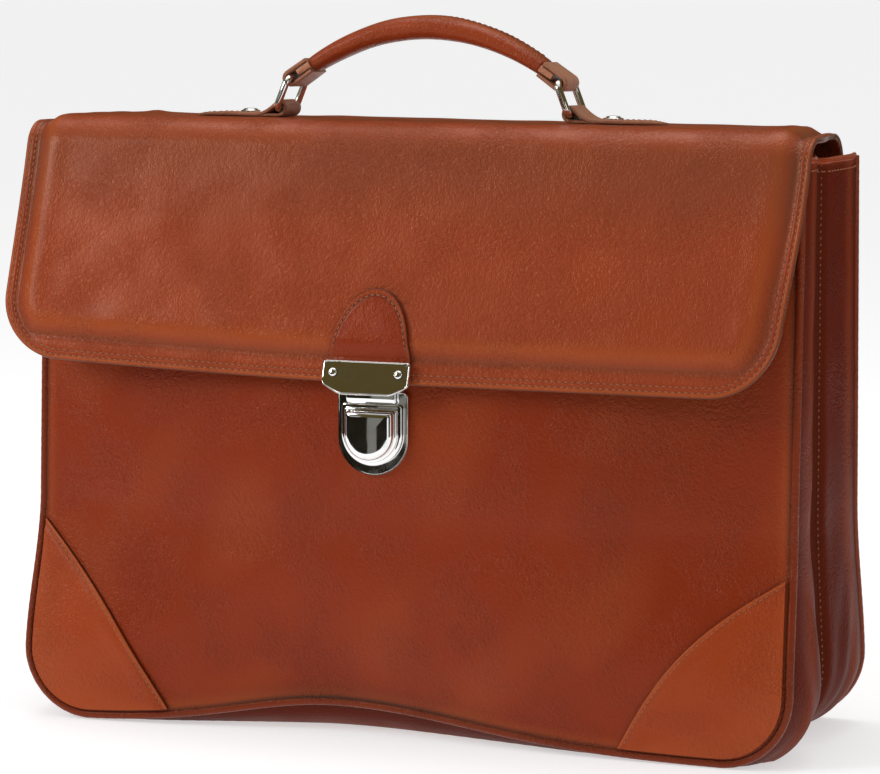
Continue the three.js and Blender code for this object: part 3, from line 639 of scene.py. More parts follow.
@dataclass(frozen=True)
class Stitching:
    """A run of stitches: pitch, length and thickness in millimetres."""

    pitch: float = 3.2
    length: float = 2.3
    radius: float = 0.42
    hole_radius: float = 0.5

    def along(self, path: Array, normals: Array) -> Surface:
        """Lays stitches, with painted shade for their needle holes, along a path on a surface.

        Args:
            path: Points of the path.
            normals: Outward normal of the surface at each point.

        Returns:
            Small capsules, each a ring profile of radius sin(t) along the path, with a low dark cone in the
            gap after each of them: painted shade for the needle holes. The mask for that shade is 1 on the
            cones.
        """
        steps = np.linalg.norm(np.diff(path, axis=0), axis=1)
        travelled = np.concatenate([[0.0], np.cumsum(steps)])
        count = max(2, int(travelled[-1] / self.pitch))
        middle = (np.arange(count) + 0.5) * travelled[-1] / count

        def read(values: Array, at: Array) -> Array:
            """Values along the path at the given distances."""
            return np.stack([np.interp(at, travelled, values[:, k]) for k in range(3)], axis=-1)

        ahead = unit(read(path, middle + 0.6) - read(path, middle - 0.6))
        up = unit(read(normals, middle))
        side = np.cross(ahead, up)
        centre = read(path, middle)
        turn = np.linspace(0, math.pi, 6)
        around = circle_angles(6)
        swell = np.sin(turn)[:, None] ** 0.6 * self.radius
        reach = -np.cos(turn)[:, None] * self.length / 2
        lift = self.radius * 0.15
        rings = (
            centre[:, None, None]
            + ahead[:, None, None] * (reach + 0 * around)[None, :, :, None]
            + side[:, None, None] * (swell * np.cos(around))[None, :, :, None]
            + up[:, None, None] * (swell * np.sin(around) + lift)[None, :, :, None]
        )
        one = grid_faces(6, 6, False, True)
        spread = (np.arange(count) * 36)[:, None, None]
        faces = (one + spread).reshape(-1, 4)
        thread = Surface(rings.reshape(-1, 3), [faces], {"hole": np.zeros(count * 36)})
        gap = middle[:-1] + travelled[-1] / count / 2
        spot = read(path, gap)
        rise = unit(read(normals, gap))
        run = unit(read(path, gap + 0.6) - read(path, gap - 0.6))
        across = np.cross(run, rise)
        rim = self.hole_radius * (
            run[:, None] * np.cos(around)[None, :, None] + across[:, None] * np.sin(around)[None, :, None]
        )
        base = spot[:, None] + rim - rise[:, None] * 0.1
        points = np.concatenate([base, (spot + rise * 0.12)[:, None]], axis=1)
        fan = np.stack([np.arange(6), (np.arange(6) + 1) % 6, np.full(6, 6)], axis=-1)
        order = (np.arange(count - 1) * 7)[:, None, None]
        fans = (fan + order).reshape(-1, 3)
        holes = Surface(points.reshape(-1, 3), [fans], {"hole": np.ones((count - 1) * 7)})
        return join_surfaces([thread, holes])


# Body of the case


@dataclass(frozen=True)
class Side:
    """One half of the body: the front or the rear one."""

    sign: int
    height: float
    lean: float
    base_depth: float
    upper_depth: float
    lift: float
    push: float
    swell: float
    swell_top: float


@dataclass
class CaseForm:
    """The form that all pieces of the body follow, in millimetres."""

    base_width: float = 394.5
    upper_width: float = 389.5
    corner_radius: float = 34.0
    flare_start: float = 25.0
    flare_top: float = 112.0
    panel_leather: float = 1.8
    gusset_leather: float = 1.6
    divider_leather: float = 1.6
    divider_height: float = 273.0
    bead: float = 2.2
    valley: float = 9.0
    lobe: float = 5.0
    gap: float = 0.3
    strip_height: float = 26.0
    dent_place: float = -35.0
    dent_left: float = 72.0
    dent_right: float = 98.0
    dent_reach: float = 90.0
    divider_lift: float = 4.5
    front: Side = Side(-1, 284.0, 8.0, 65.0, 50.0, 14.0, 11.0, 22.0, 284.0)
    rear: Side = Side(1, 281.0, 5.0, 67.0, 58.0, 6.0, 4.0, 6.0, 255.0)
    swell_heights: tuple[float, ...] = (0.0, 0.16, 0.36, 0.54, 0.66, 0.8, 1.0)
    swell_shares: tuple[float, ...] = (0.0, 0.42, 0.86, 1.0, 0.93, 0.5, 0.0)

    def __post_init__(self) -> None:
        """Finds where the form stands in the frame, from the CAD nodes."""
        divider = np.array(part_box("divider")) / MM
        piping = np.array(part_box("front_piping")) / MM
        self.shift = np.array([piping[:, 0].mean(), divider[:, 1].mean(), self.bead])

    def placed(self, x: Array, y: Array, z: Array) -> Array:
        """Stacks coordinates of the form and moves them into the frame."""
        return np.stack(np.broadcast_arrays(x, y, z), axis=-1) + self.shift

    def flare(self, z: Array) -> Array:
        """Share of the wide foot at a height."""
        return 1 - ease(self.flare_start, self.flare_top, z)

    def half_width(self, z: Array) -> Array:
        """Half the width between the seams at a height."""
        return (self.upper_width + (self.base_width - self.upper_width) * self.flare(z)) / 2

    def seam_depth(self, side: Side, z: Array) -> Array:
        """Depth of a seam from the divider at a height."""
        leaning = side.lean * clamp01((z - self.flare_top) / (side.height - self.flare_top))
        return side.upper_depth + (side.base_depth - side.upper_depth) * self.flare(z) - leaning

    def dent(self, x: Array, z: Array) -> Array:
        """The dent in the bottom edge: a bell curve over x that fades with height."""
        spread = np.where(x < self.dent_place, self.dent_left, self.dent_right)
        return bell(x, self.dent_place, spread) * (1 - ease(0, self.dent_reach, z))

    def seam(self, side: Side, x: Array, z: Array) -> tuple[Array, Array, Array]:
        """Bends a place of the plain outline to its real place, as x, y and z."""
        dent = self.dent(x, z)
        return (
            x * self.half_width(z) / (self.base_width / 2),
            side.sign * (self.seam_depth(side, z) - side.push * dent),
            z + side.lift * dent,
        )

    def swell(self, side: Side, x: Array, z: Array) -> Array:
        """How far a filled panel stands proud of its seams."""
        across = 1 - np.abs(x / (self.base_width / 2)) ** 2.4
        return side.swell * across * smooth_table(self.swell_heights, self.swell_shares, z / side.swell_top)

    def panel(self, side: Side, x: Array, z: Array, outside: Array | float) -> Array:
        """A point of a panel, a distance outside the middle of its leather, with soft hollows."""
        bx, by, bz = self.seam(side, x, z)
        inside = clamp01(np.minimum(self.base_width / 2 - np.abs(x), z) / 45.0)
        soft = 0.55 * ripple(x, z, 95.0, 4) * inside
        return self.placed(bx, by + side.sign * (self.swell(side, x, z) + soft + outside), bz)

    def outline(self, height: float, inset: float, step: float = 2.0) -> tuple[Array, Array, Array, Array]:
        """The plain outline from the left top round the bottom to the right top.

        Args:
            height: Height of its two ends.
            inset: Distance inward from the seam line.
            step: Spacing of its points.

        Returns:
            x, z and the outward direction nx, nz at each point.
        """
        half = self.base_width / 2
        reach = self.corner_radius - inset
        up = np.linspace(height, self.corner_radius, int((height - self.corner_radius) / step))
        turn = np.linspace(0, math.pi / 2, 26)[1:]
        flat = np.linspace(-1, 0, int((half - self.corner_radius) / step))[1:] * (half - self.corner_radius)
        bend = self.corner_radius - half - reach * np.cos(turn)
        x = np.concatenate([np.full(len(up), inset - half), bend, flat])
        z = np.concatenate([up, self.corner_radius - reach * np.sin(turn), np.full(len(flat), inset)])
        nx = np.concatenate([np.full(len(up), -1.0), -np.cos(turn), np.zeros(len(flat))])
        nz = np.concatenate([np.zeros(len(up)), -np.sin(turn), np.full(len(flat), -1.0)])
        back = slice(-2, None, -1)
        return (
            np.concatenate([x, -x[back]]),
            np.concatenate([z, z[back]]),
            np.concatenate([nx, -nx[back]]),
            np.concatenate([nz, nz[back]]),
        )

    def outline_half(self, z: Array, inset: float) -> Array:
        """Half width of the plain outline at a height, round the bottom corners."""
        reach = self.corner_radius - inset
        rise = np.clip(self.corner_radius - z, 0, reach)
        return self.base_width / 2 - self.corner_radius + np.sqrt(reach**2 - rise**2)

    def surface_normals(self, points: Array) -> Array:
        """Normals of a grid of points of shape (rows, columns, 3), from its own slopes."""
        along = np.gradient(points, axis=0)
        across = np.gradient(points, axis=1)
        return unit(np.cross(along, across))


def rounded_edge(inside: Array, radius: float) -> Array:
    """Fall of a face towards a rounded edge: a quarter circle of the given radius."""
    short = np.clip(radius - inside, 0, radius)
    return -(radius - np.sqrt(radius**2 - short**2))


FRONT_GUSSET_ROWS: GussetRows = {
    "way": (0.0, 0.1, 0.2, 0.42, 0.62, 0.8, 0.88, 0.94, 1.0),
    "inward": (0.0, -0.1, -0.14, -0.14, 0.2, 0.5, 0.72, 0.88, 1.0),
    "lobe": (0.0, 0.3, 0.55, 1.0, 0.9, 0.5, 0.3, 0.1, 0.0),
    "follow": (1.0, 0.55, 0.3, 0.06, 0.0, 0.0, 0.0, 0.0, 0.0),
}
REAR_GUSSET_ROWS: GussetRows = {
    "way": (0.0, 0.22, 0.5, 0.7, 0.78, 0.84, 0.9, 0.96, 1.0),
    "inward": (0.0, -0.14, 0.0, 0.16, 0.2, 0.3, 0.66, 0.92, 1.0),
    "lobe": (0.0, 0.1, 0.2, 0.3, 0.25, 0.2, 0.1, 0.0, 0.0),
    "follow": (1.0, 0.5, 0.2, 0.0, 0.0, 0.0, 0.0, 0.0, 0.0),
}


@dataclass
class CaseBody:
    """Panels, piping, gussets, divider and corner patches."""

    form: CaseForm
    finishes: Finishes
    panel_columns: int = 190
    panel_rows: int = 120
    gusset_ways: int = 44
    binding_half_width: float = 1.15
    binding_half_height: float = 1.7
    patch_leather: float = 1.3
    patch_gap: float = 0.7
    left_patch: tuple[float, float, float] = (97.0, 76.0, 7.0)
    right_patch: tuple[float, float, float] = (88.0, 84.0, 10.0)
    patch_tip: float = 3.0

    def build(self) -> None:
        """Builds every piece of the body."""
        form = self.form
        self.build_panel("front_panel", form.front)
        self.build_panel("rear_panel", form.rear)
        self.build_piping("front_piping", form.front)
        self.build_piping("rear_piping", form.rear)
        self.build_gusset("front_gusset", form.front, FRONT_GUSSET_ROWS)
        self.build_gusset("rear_gusset", form.rear, REAR_GUSSET_ROWS)
        self.build_divider()
        self.build_patch("corner_patch_left", -1, *self.left_patch)
        self.build_patch("corner_patch_right", 1, *self.right_patch)

    def build_panel(self, name: str, side: Side) -> None:
        """A panel: a grid over the outline that ends inside the bead, with worn rims, painted shade along
        its rims and in the bottom dent, and a broad patch of painted shade towards its right end.
        """
        form = self.form
        inset = form.bead * 0.4
        reach = form.corner_radius - inset
        low = form.corner_radius - reach * np.cos(np.linspace(0, math.pi / 2, 26)[:-1])
        high = np.linspace(form.corner_radius, side.height, self.panel_rows)
        z = np.concatenate([low, high])[:, None]
        ends = np.array([0, 0.25, 0.6, 1.2, 2.4])
        half = form.outline_half(z, inset)
        middle = np.linspace(-1, 1, self.panel_columns)[None, :] * (half - 4.0)
        x = np.concatenate([ends[None, :] - half, middle, half - ends[None, ::-1]], axis=1)
        inside = np.minimum(half - np.abs(x), z - inset + 0 * x)
        over = form.panel_leather / 2 + rounded_edge(inside, 0.8)
        outer = form.panel(side, x, z + 0 * x, over)
        inner = form.panel(side, x, z + 0 * x, -over)
        dent = form.dent(x, z + 0 * x)
        masks = {
            "worn": 0.35 * bell(inside, 3.0, 3.0) + 0.25 * clamp01(ripple(x, z, 70.0, 9)),
            # Painted shade: a dark line along the rim by the bead, shade in the dent of the bottom edge, and
            # a broad shaded patch towards the panel's right end.
            "shade": 0.6 * bell(inside, 1.2, 1.2) + 0.45 * dent * bell(inside, 0.0, 9.0)
            + 0.2 * bell(x, 135.0, 62.0) * bell(z, 175.0, 70.0),
            "painted": np.zeros_like(x),
        }
        add_piece(name, wall(outer, inner, masks), self.finishes.panel, stands_for=(name,))

    def build_piping(self, name: str, side: Side) -> None:
        """The bead in a seam: a circle carried along the seam, with fine cross wrinkles."""
        form = self.form
        x, z, nx, nz = form.outline(side.height, 0.0, 1.6)
        bx, by, bz = form.seam(side, x, z)
        middle = form.placed(bx, by, bz)
        angle = circle_angles(14)
        out = np.stack([nx, 0 * nx, nz], axis=-1)
        radius = form.bead * (1 - 0.02 * (1 + np.sin(np.arange(len(x)) * 2.1)))[:, None, None]
        level = np.array([0.0, 1.0, 0.0])
        round_way = out[:, None] * np.cos(angle)[None, :, None] + level * np.sin(angle)[None, :, None]
        rings = middle[:, None] + radius * round_way
        front = -side.sign * np.sin(angle)[None, :] + 0 * x[:, None]
        masks = {
            "worn": 0.2 * clamp01(front) + 0.1 * clamp01(np.cos(angle))[None, :],
            "shade": 0.7 * clamp01(-np.cos(angle) - 0.1)[None, :] + 0 * front,
            "painted": np.zeros_like(front),
        }
        add_piece(name, tube(rings, masks=masks), self.finishes.piping, stands_for=(name,))

    def gusset_points(
        self, side: Side, rows: GussetRows, stations: tuple[Array, ...], way: Array, outside: Array | float
    ) -> Array:
        """Points of a gusset.

        Args:
            side: Half of the body that it belongs to.
            rows: Columns way, inward, lobe and follow of its fold.
            stations: The outline's x, z, nx and nz.
            way: Shares of the way from the panel's seam to the divider.
            outside: Distance outside the middle of the leather.

        Returns:
            The fold table carried along the outline from inside the bead into the divider, no lower
            than the floor.
        """
        form = self.form
        x, z, nx, nz = (value[:, None] for value in stations)
        columns = ("inward", "lobe", "follow")
        read = {key: smooth_table(rows["way"], rows[key], way)[None, :] for key in columns}
        inward = read["inward"] * form.valley - read["lobe"] * form.lobe * form.flare(z) - outside
        px = x - nx * inward
        pz = z - nz * inward
        bx, by, _ = form.seam(side, px, pz)
        start = by - side.sign * form.bead * 0.45
        end = side.sign * form.divider_leather * 0.2
        lift = form.divider_lift + (side.lift - form.divider_lift) * read["follow"]
        lifted = pz + lift * form.dent(px, pz)
        floor = form.gusset_leather / 2 - form.bead - outside
        return form.placed(bx, start + (end - start) * way[None, :], np.maximum(lifted, floor))

    def build_gusset(self, name: str, side: Side, rows: GussetRows) -> None:
        """A gusset with its fold, soft wrinkles at the corners, a stitched edge at the divider, painted
        highlight on its ridges and painted shade by its seams.
        """
        form = self.form
        stations = form.outline(side.height, 0.0, 2.4)
        way = np.linspace(0, 1, self.gusset_ways)
        x, z = stations[0][:, None], stations[1][:, None]
        low = bell(z, 30.0, 38.0) * (np.abs(x) > form.base_width / 2 - 60)
        fold = np.sin(math.pi * way)[None, :] ** 2
        crumple = 0.5 * fold * ripple(z + 0 * way[None, :], 60 * way[None, :], 42.0, 7) * ease(20, 60, z)
        crease = 0.7 * low * fold * np.sin(way[None, :] * 19 + z / 9)
        half = form.gusset_leather / 2
        outer = self.gusset_points(side, rows, stations, way, half + crumple + crease)
        inner = self.gusset_points(side, rows, stations, way, crumple + crease - half)
        share = way[None, :] + 0 * z
        # The wear mask is mostly painted highlight: the lit crest of the fold near the panel, the ridge by
        # the divider and the top edge are made paler, the top edge partly as wear. The shade mask is painted
        # shade by the panel's seam and in the valley at the divider's stitches.
        masks = {
            "worn": 0.6 * bell(share, 0.3, 0.1) + 0.4 * bell(share, 0.97, 0.03)
            + 0.9 * bell(z, side.height, 1.8),
            "shade": 0.6 * bell(share, 0.0, 0.05) + 0.35 * bell(share, 0.9, 0.05),
            "painted": np.zeros_like(share),
        }
        add_piece(name, wall(outer, inner, masks), self.finishes.dark, stands_for=(name,))
        normals = form.surface_normals(outer)
        out = np.stack([stations[2], 0 * stations[2], stations[3]], axis=-1)
        column = int(0.9 * (self.gusset_ways - 1))
        facing = np.sign((normals[:, column] * out).sum(axis=-1, keepdims=True))
        stitches = Stitching(pitch=3.2, length=1.4).along(outer[:, column], normals[:, column] * facing)
        add_piece(f"{name}_stitches", stitches, self.finishes.thread)
        middle = (outer + inner) / 2
        bound = join_surfaces([self.bound_edge(middle[0]), self.bound_edge(middle[-1])])
        add_piece(f"{name}_binding", bound, self.finishes.patch)
        thread = Stitching(pitch=3.4, length=2.2)
        top_rows = [thread.along(outer[row], normals[row] * facing[row]) for row in (2, -3)]
        add_piece(f"{name}_top_stitches", join_surfaces(top_rows), self.finishes.thread)

    def bound_edge(self, line: Array) -> Surface:
        """The turned leather edge on top of a gusset: an upright oval carried along it, its upper half paler
        as wear with a painted highlight.
        """
        ahead = unit(np.gradient(line, axis=0))
        up = np.array([0.0, 0.0, 1.0])
        side = np.cross(ahead, up)
        angle = circle_angles(12)
        wide = side[:, None] * self.binding_half_width * np.cos(angle)[:, None]
        rings = line[:, None] + wide + up * self.binding_half_height * np.sin(angle)[:, None]
        # Upper half paler: partly wear, partly a painted highlight where the top light falls.
        masks = {"worn": 0.5 * clamp01(np.sin(angle))[None, :] + 0 * line[:, :1]}
        masks["shade"] = 0 * masks["worn"]
        masks["painted"] = 0 * masks["worn"]
        return tube(rings, masks=masks)

    def build_divider(self) -> None:
        """The wall between the compartments: a sheet with a rounded top edge."""
        form = self.form
        inset = form.valley - form.gusset_leather / 2
        reach = form.corner_radius - inset
        low = form.corner_radius - reach * np.cos(np.linspace(0, math.pi / 2, 14)[:-1])
        z = np.concatenate([low, np.linspace(form.corner_radius, form.divider_height, 40)])[:, None]
        x = np.linspace(-1, 1, 60)[None, :] * form.outline_half(z, inset)
        bx, _, _ = form.seam(form.front, x, z + 0 * x)
        bz = z + form.divider_lift * form.dent(x, z + 0 * x)
        half = form.divider_leather / 2 + rounded_edge(form.divider_height - z + 0 * x, 0.5)
        masks = {name: np.zeros_like(x) for name in ("worn", "shade", "painted")}
        surface = wall(form.placed(bx, -half, bz), form.placed(bx, half, bz), masks)
        add_piece("divider", surface, self.finishes.dark, stands_for=("divider",))

    def patch_place(
        self, height: float, width: float, bow: float, along: Array, across: Array
    ) -> tuple[Array, Array]:
        """Places of a corner patch on the plain outline.

        Args:
            height: How far it reaches up the side.
            width: How far it reaches along the bottom.
            bow: How far its cut edge bows out.
            along: Share along the cut edge, from the side to the bottom.
            across: Share from the cut edge to the case's outline.

        Returns:
            x and z: straight lines between the bowed cut edge and the outline.
        """
        form = self.form
        inset = form.bead + 2 * form.gap
        reach = form.corner_radius - inset
        half = form.base_width / 2
        upright = height - self.patch_tip - form.corner_radius
        arc = reach * math.pi / 2
        level = width - self.patch_tip - form.corner_radius
        gone = along * (upright + arc + level)
        angle = np.clip((gone - upright) / reach, 0, math.pi / 2)
        edge_x = half - form.corner_radius + reach * np.cos(angle) - np.clip(gone - upright - arc, 0, None)
        edge_z = form.corner_radius - reach * np.sin(angle) + np.clip(upright - gone, 0, None)
        run = np.array([inset - width, inset - height])
        side = unit(np.array([run[1], -run[0]]))
        curve = bow * np.sin(along * math.pi)
        cut_x = half - inset + run[0] * along + side[0] * curve
        cut_z = height + run[1] * along + side[1] * curve
        return cut_x + (edge_x - cut_x) * across, cut_z + (edge_z - cut_z) * across

    def build_patch(self, name: str, sideways: int, height: float, width: float, bow: float) -> None:
        """A corner patch with rounded, painted edges and a row of stitches inside its cut edge."""
        form = self.form
        share = np.linspace(0, 1, 90)[:, None]
        fine = np.array([0, 0.004, 0.012, 0.03, 0.06])
        across = np.concatenate([fine, np.linspace(0.1, 0.94, 40), 1 - fine[::-1]])[None, :]
        x, z = self.patch_place(height, width, bow, share, across)
        cut_x, cut_z = self.patch_place(height, width, bow, share, 0 * across)
        inside = np.hypot(x - cut_x, z - cut_z)
        skin = form.panel_leather / 2 + self.patch_gap
        over = skin + self.patch_leather + rounded_edge(inside, 0.6)
        puff = 0.5 * bell(inside, 6.0, 4.0) - 0.3 * bell(inside, 2.1, 0.7)
        outer = form.panel(form.front, sideways * x, z, over + puff * ease(0.2, 1.0, inside))
        inner = form.panel(form.front, sideways * x, z, skin)
        masks = {
            "worn": 0.5 * bell(inside, 1.0, 1.0) + 0.2 * ease(0.5, 1.0, across + 0 * x),
            "shade": 0.3 * bell(inside, 2.1, 0.6),
            "painted": 1 - ease(0.0, 0.3, inside),
        }
        add_piece(name, wall(outer, inner, masks), self.finishes.patch, stands_for=(name,))
        line = np.linspace(0.03, 0.97, 120)
        depth = np.full_like(line, 0.0)
        base_x, base_z = self.patch_place(height, width, bow, line, depth)
        tips_x, tips_z = self.patch_place(height, width, bow, line, depth + 1)
        length = np.maximum(np.hypot(tips_x - base_x, tips_z - base_z), 6.0)
        sx, sz = self.patch_place(height, width, bow, line, 2.1 / length)
        top = form.panel(form.front, sideways * sx, sz, skin + self.patch_leather - 0.15)
        normal = np.tile([0.0, -1.0, 0.0], (len(line), 1))
        stitches = Stitching(pitch=3.0, length=2.1, radius=0.38).along(top, normal)
        add_piece(f"{name}_stitches", stitches, self.finishes.thread)


# Flap


@dataclass
class BentPath:
    """Straight runs with rounded corners in the YZ plane, measured by the distance along them."""

    corners: Array
    radii: tuple[float, ...]

    def __post_init__(self) -> None:
        """Works out where each straight run and each bend begins."""
        self.runs: list[tuple] = []
        here = self.corners[0]
        travelled = 0.0
        for k in range(1, len(self.corners)):
            corner = self.corners[k]
            along = unit(corner - self.corners[k - 1])
            turn, trim, after = 0.0, 0.0, along
            if k < len(self.corners) - 1:
                after = unit(self.corners[k + 1] - corner)
                turn = math.acos(float(np.clip(along @ after, -1, 1)))
                trim = self.radii[k - 1] * math.tan(turn / 2)
            end = corner - along * trim
            length = float(np.linalg.norm(end - here))
            self.runs.append((travelled, length, here, along, 0.0))
            travelled += length
            here = end
            if turn > 0:
                arc = turn * self.radii[k - 1]
                self.runs.append((travelled, arc, end, along, self.radii[k - 1]))
                travelled += arc
                here = corner + after * trim
        self.length = travelled

    def at(self, distance: Array) -> tuple[Array, Array]:
        """Places and outward normals at distances along the path."""
        distance = np.asarray(distance, dtype=float)
        place = np.zeros((*distance.shape, 2))
        normal = np.zeros((*distance.shape, 2))
        for start, _, here, along, radius in self.runs:
            gone = distance - start
            left = np.array([-along[1], along[0]])
            if radius == 0:
                spot = here + along * gone[..., None]
                out = np.broadcast_to(left, spot.shape)
            else:
                angle = (gone / radius)[..., None]
                spot = here + along * radius * np.sin(angle) - left * radius * (1 - np.cos(angle))
                out = left * np.cos(angle) + along * np.sin(angle)
            inside = (gone >= 0)[..., None]
            place = np.where(inside, spot, place)
            normal = np.where(inside, out, normal)
        return place, normal


@dataclass
class FlapForm:
    """The form of the padded flap, in millimetres."""

    form: CaseForm
    shift: float = -2.0
    lower_shift: float = -7.0
    lower_width: float = 397.0
    front_width: float = 404.0
    rear_width: float = 380.0
    top_height: float = 295.5
    top_fall: float = 4.0
    front_bend: float = 44.0
    lower_reach: float = 80.0
    lower_height: float = 175.5
    left_rise: float = 6.5
    leather: float = 3.0
    pad: float = 3.2
    lower_border: float = 12.0
    side_border: float = 7.0
    pad_slope: float = 8.0
    corner: float = 32.0
    radii: tuple[float, float] = (15.0, 16.0)

    def __post_init__(self) -> None:
        """Lays the path of the flap from its lower front edge to its strip on the rear panel."""
        form = self.form
        low = form.rear.height - form.strip_height
        face = float(form.seam_depth(form.rear, low)) + form.panel_leather / 2 + form.gap + self.leather
        corners = np.array([
            [-self.lower_reach, self.lower_height],
            [-self.front_bend, self.top_height],
            [face, self.top_height - self.top_fall],
            [face, low],
        ])
        self.path = BentPath(corners, self.radii)
        (_, self.front_length, *_), _, (self.top_start, self.top_length, *_), (self.rear_bend, *_), (
            self.strip_start, *_) = self.path.runs
        self.fall = math.atan2(self.top_fall, face + self.front_bend)

    def half(self, distance: Array) -> Array:
        """Half width at a distance up from the lower edge."""
        down = 1 - ease(0, self.front_length, distance)
        back = ease(self.top_start, self.rear_bend, distance)
        wide = self.front_width + (self.lower_width - self.front_width) * down
        return (wide + (self.rear_width - self.front_width) * back) / 2

    def corner_half(self, distance: Array) -> Array:
        """Half width with the rounded lower corners."""
        below = np.clip(self.corner - distance, 0, self.corner)
        return self.half(distance) - self.corner + np.sqrt(self.corner**2 - below**2)

    def edge_distance(self, x: Array, distance: Array) -> Array:
        """How far a place lies inside the flap's free edges."""
        beyond = np.abs(x) - (self.half(distance) - self.corner)
        below = self.corner - distance
        straight = np.minimum(distance, self.corner - beyond)
        rounded = self.corner - np.hypot(beyond, below)
        return np.where((beyond > 0) & (below > 0), rounded, straight)

    def inside_border(self, x: Array, distance: Array) -> Array:
        """How far a place lies inside the flat stitched border."""
        beyond = np.abs(x) - (self.half(distance) - self.corner)
        below = self.corner - distance
        straight = np.minimum(distance - self.lower_border, self.corner - beyond - self.side_border)
        rounded = np.minimum(straight, self.corner - np.hypot(beyond, below) - self.side_border)
        return np.where((beyond > 0) & (below > 0), rounded, straight)

    def pad_height(self, x: Array, distance: Array) -> Array:
        """Height of the padding over the border, with its foot crease and soft swells."""
        inside = self.inside_border(x, distance)
        on_top = 1 - ease(self.rear_bend, self.strip_start, distance)
        raised = self.pad * ease(0, self.pad_slope, inside)
        crease = -0.8 * bell(inside, -0.4, 1.5)
        roll = 0.5 * bell(inside, 10.0, 5.0)
        soft = 0.3 * ripple(x, distance, 60.0, 21) + 0.25 * ripple(x, 1.7 * distance, 28.0, 5)
        low = bell(inside, 9.0, 7.0)
        return (raised + crease + (roll + soft * (0.5 + low)) * ease(2, 14, inside)) * on_top

    def point(self, x: Array, distance: Array, over: Array | float) -> Array:
        """A point of the flap, a height over its flat border."""
        place, normal = self.path.at(distance)
        climb = 1 - ease(0, self.front_length, distance)
        leftward = np.clip(-x / self.half(distance), 0, None) ** 1.5
        across = x + self.shift + (self.lower_shift - self.shift) * climb
        y = place[..., 0] + normal[..., 0] * over
        z = place[..., 1] + normal[..., 1] * over + self.left_rise * leftward * climb
        return self.form.placed(across, y, z)


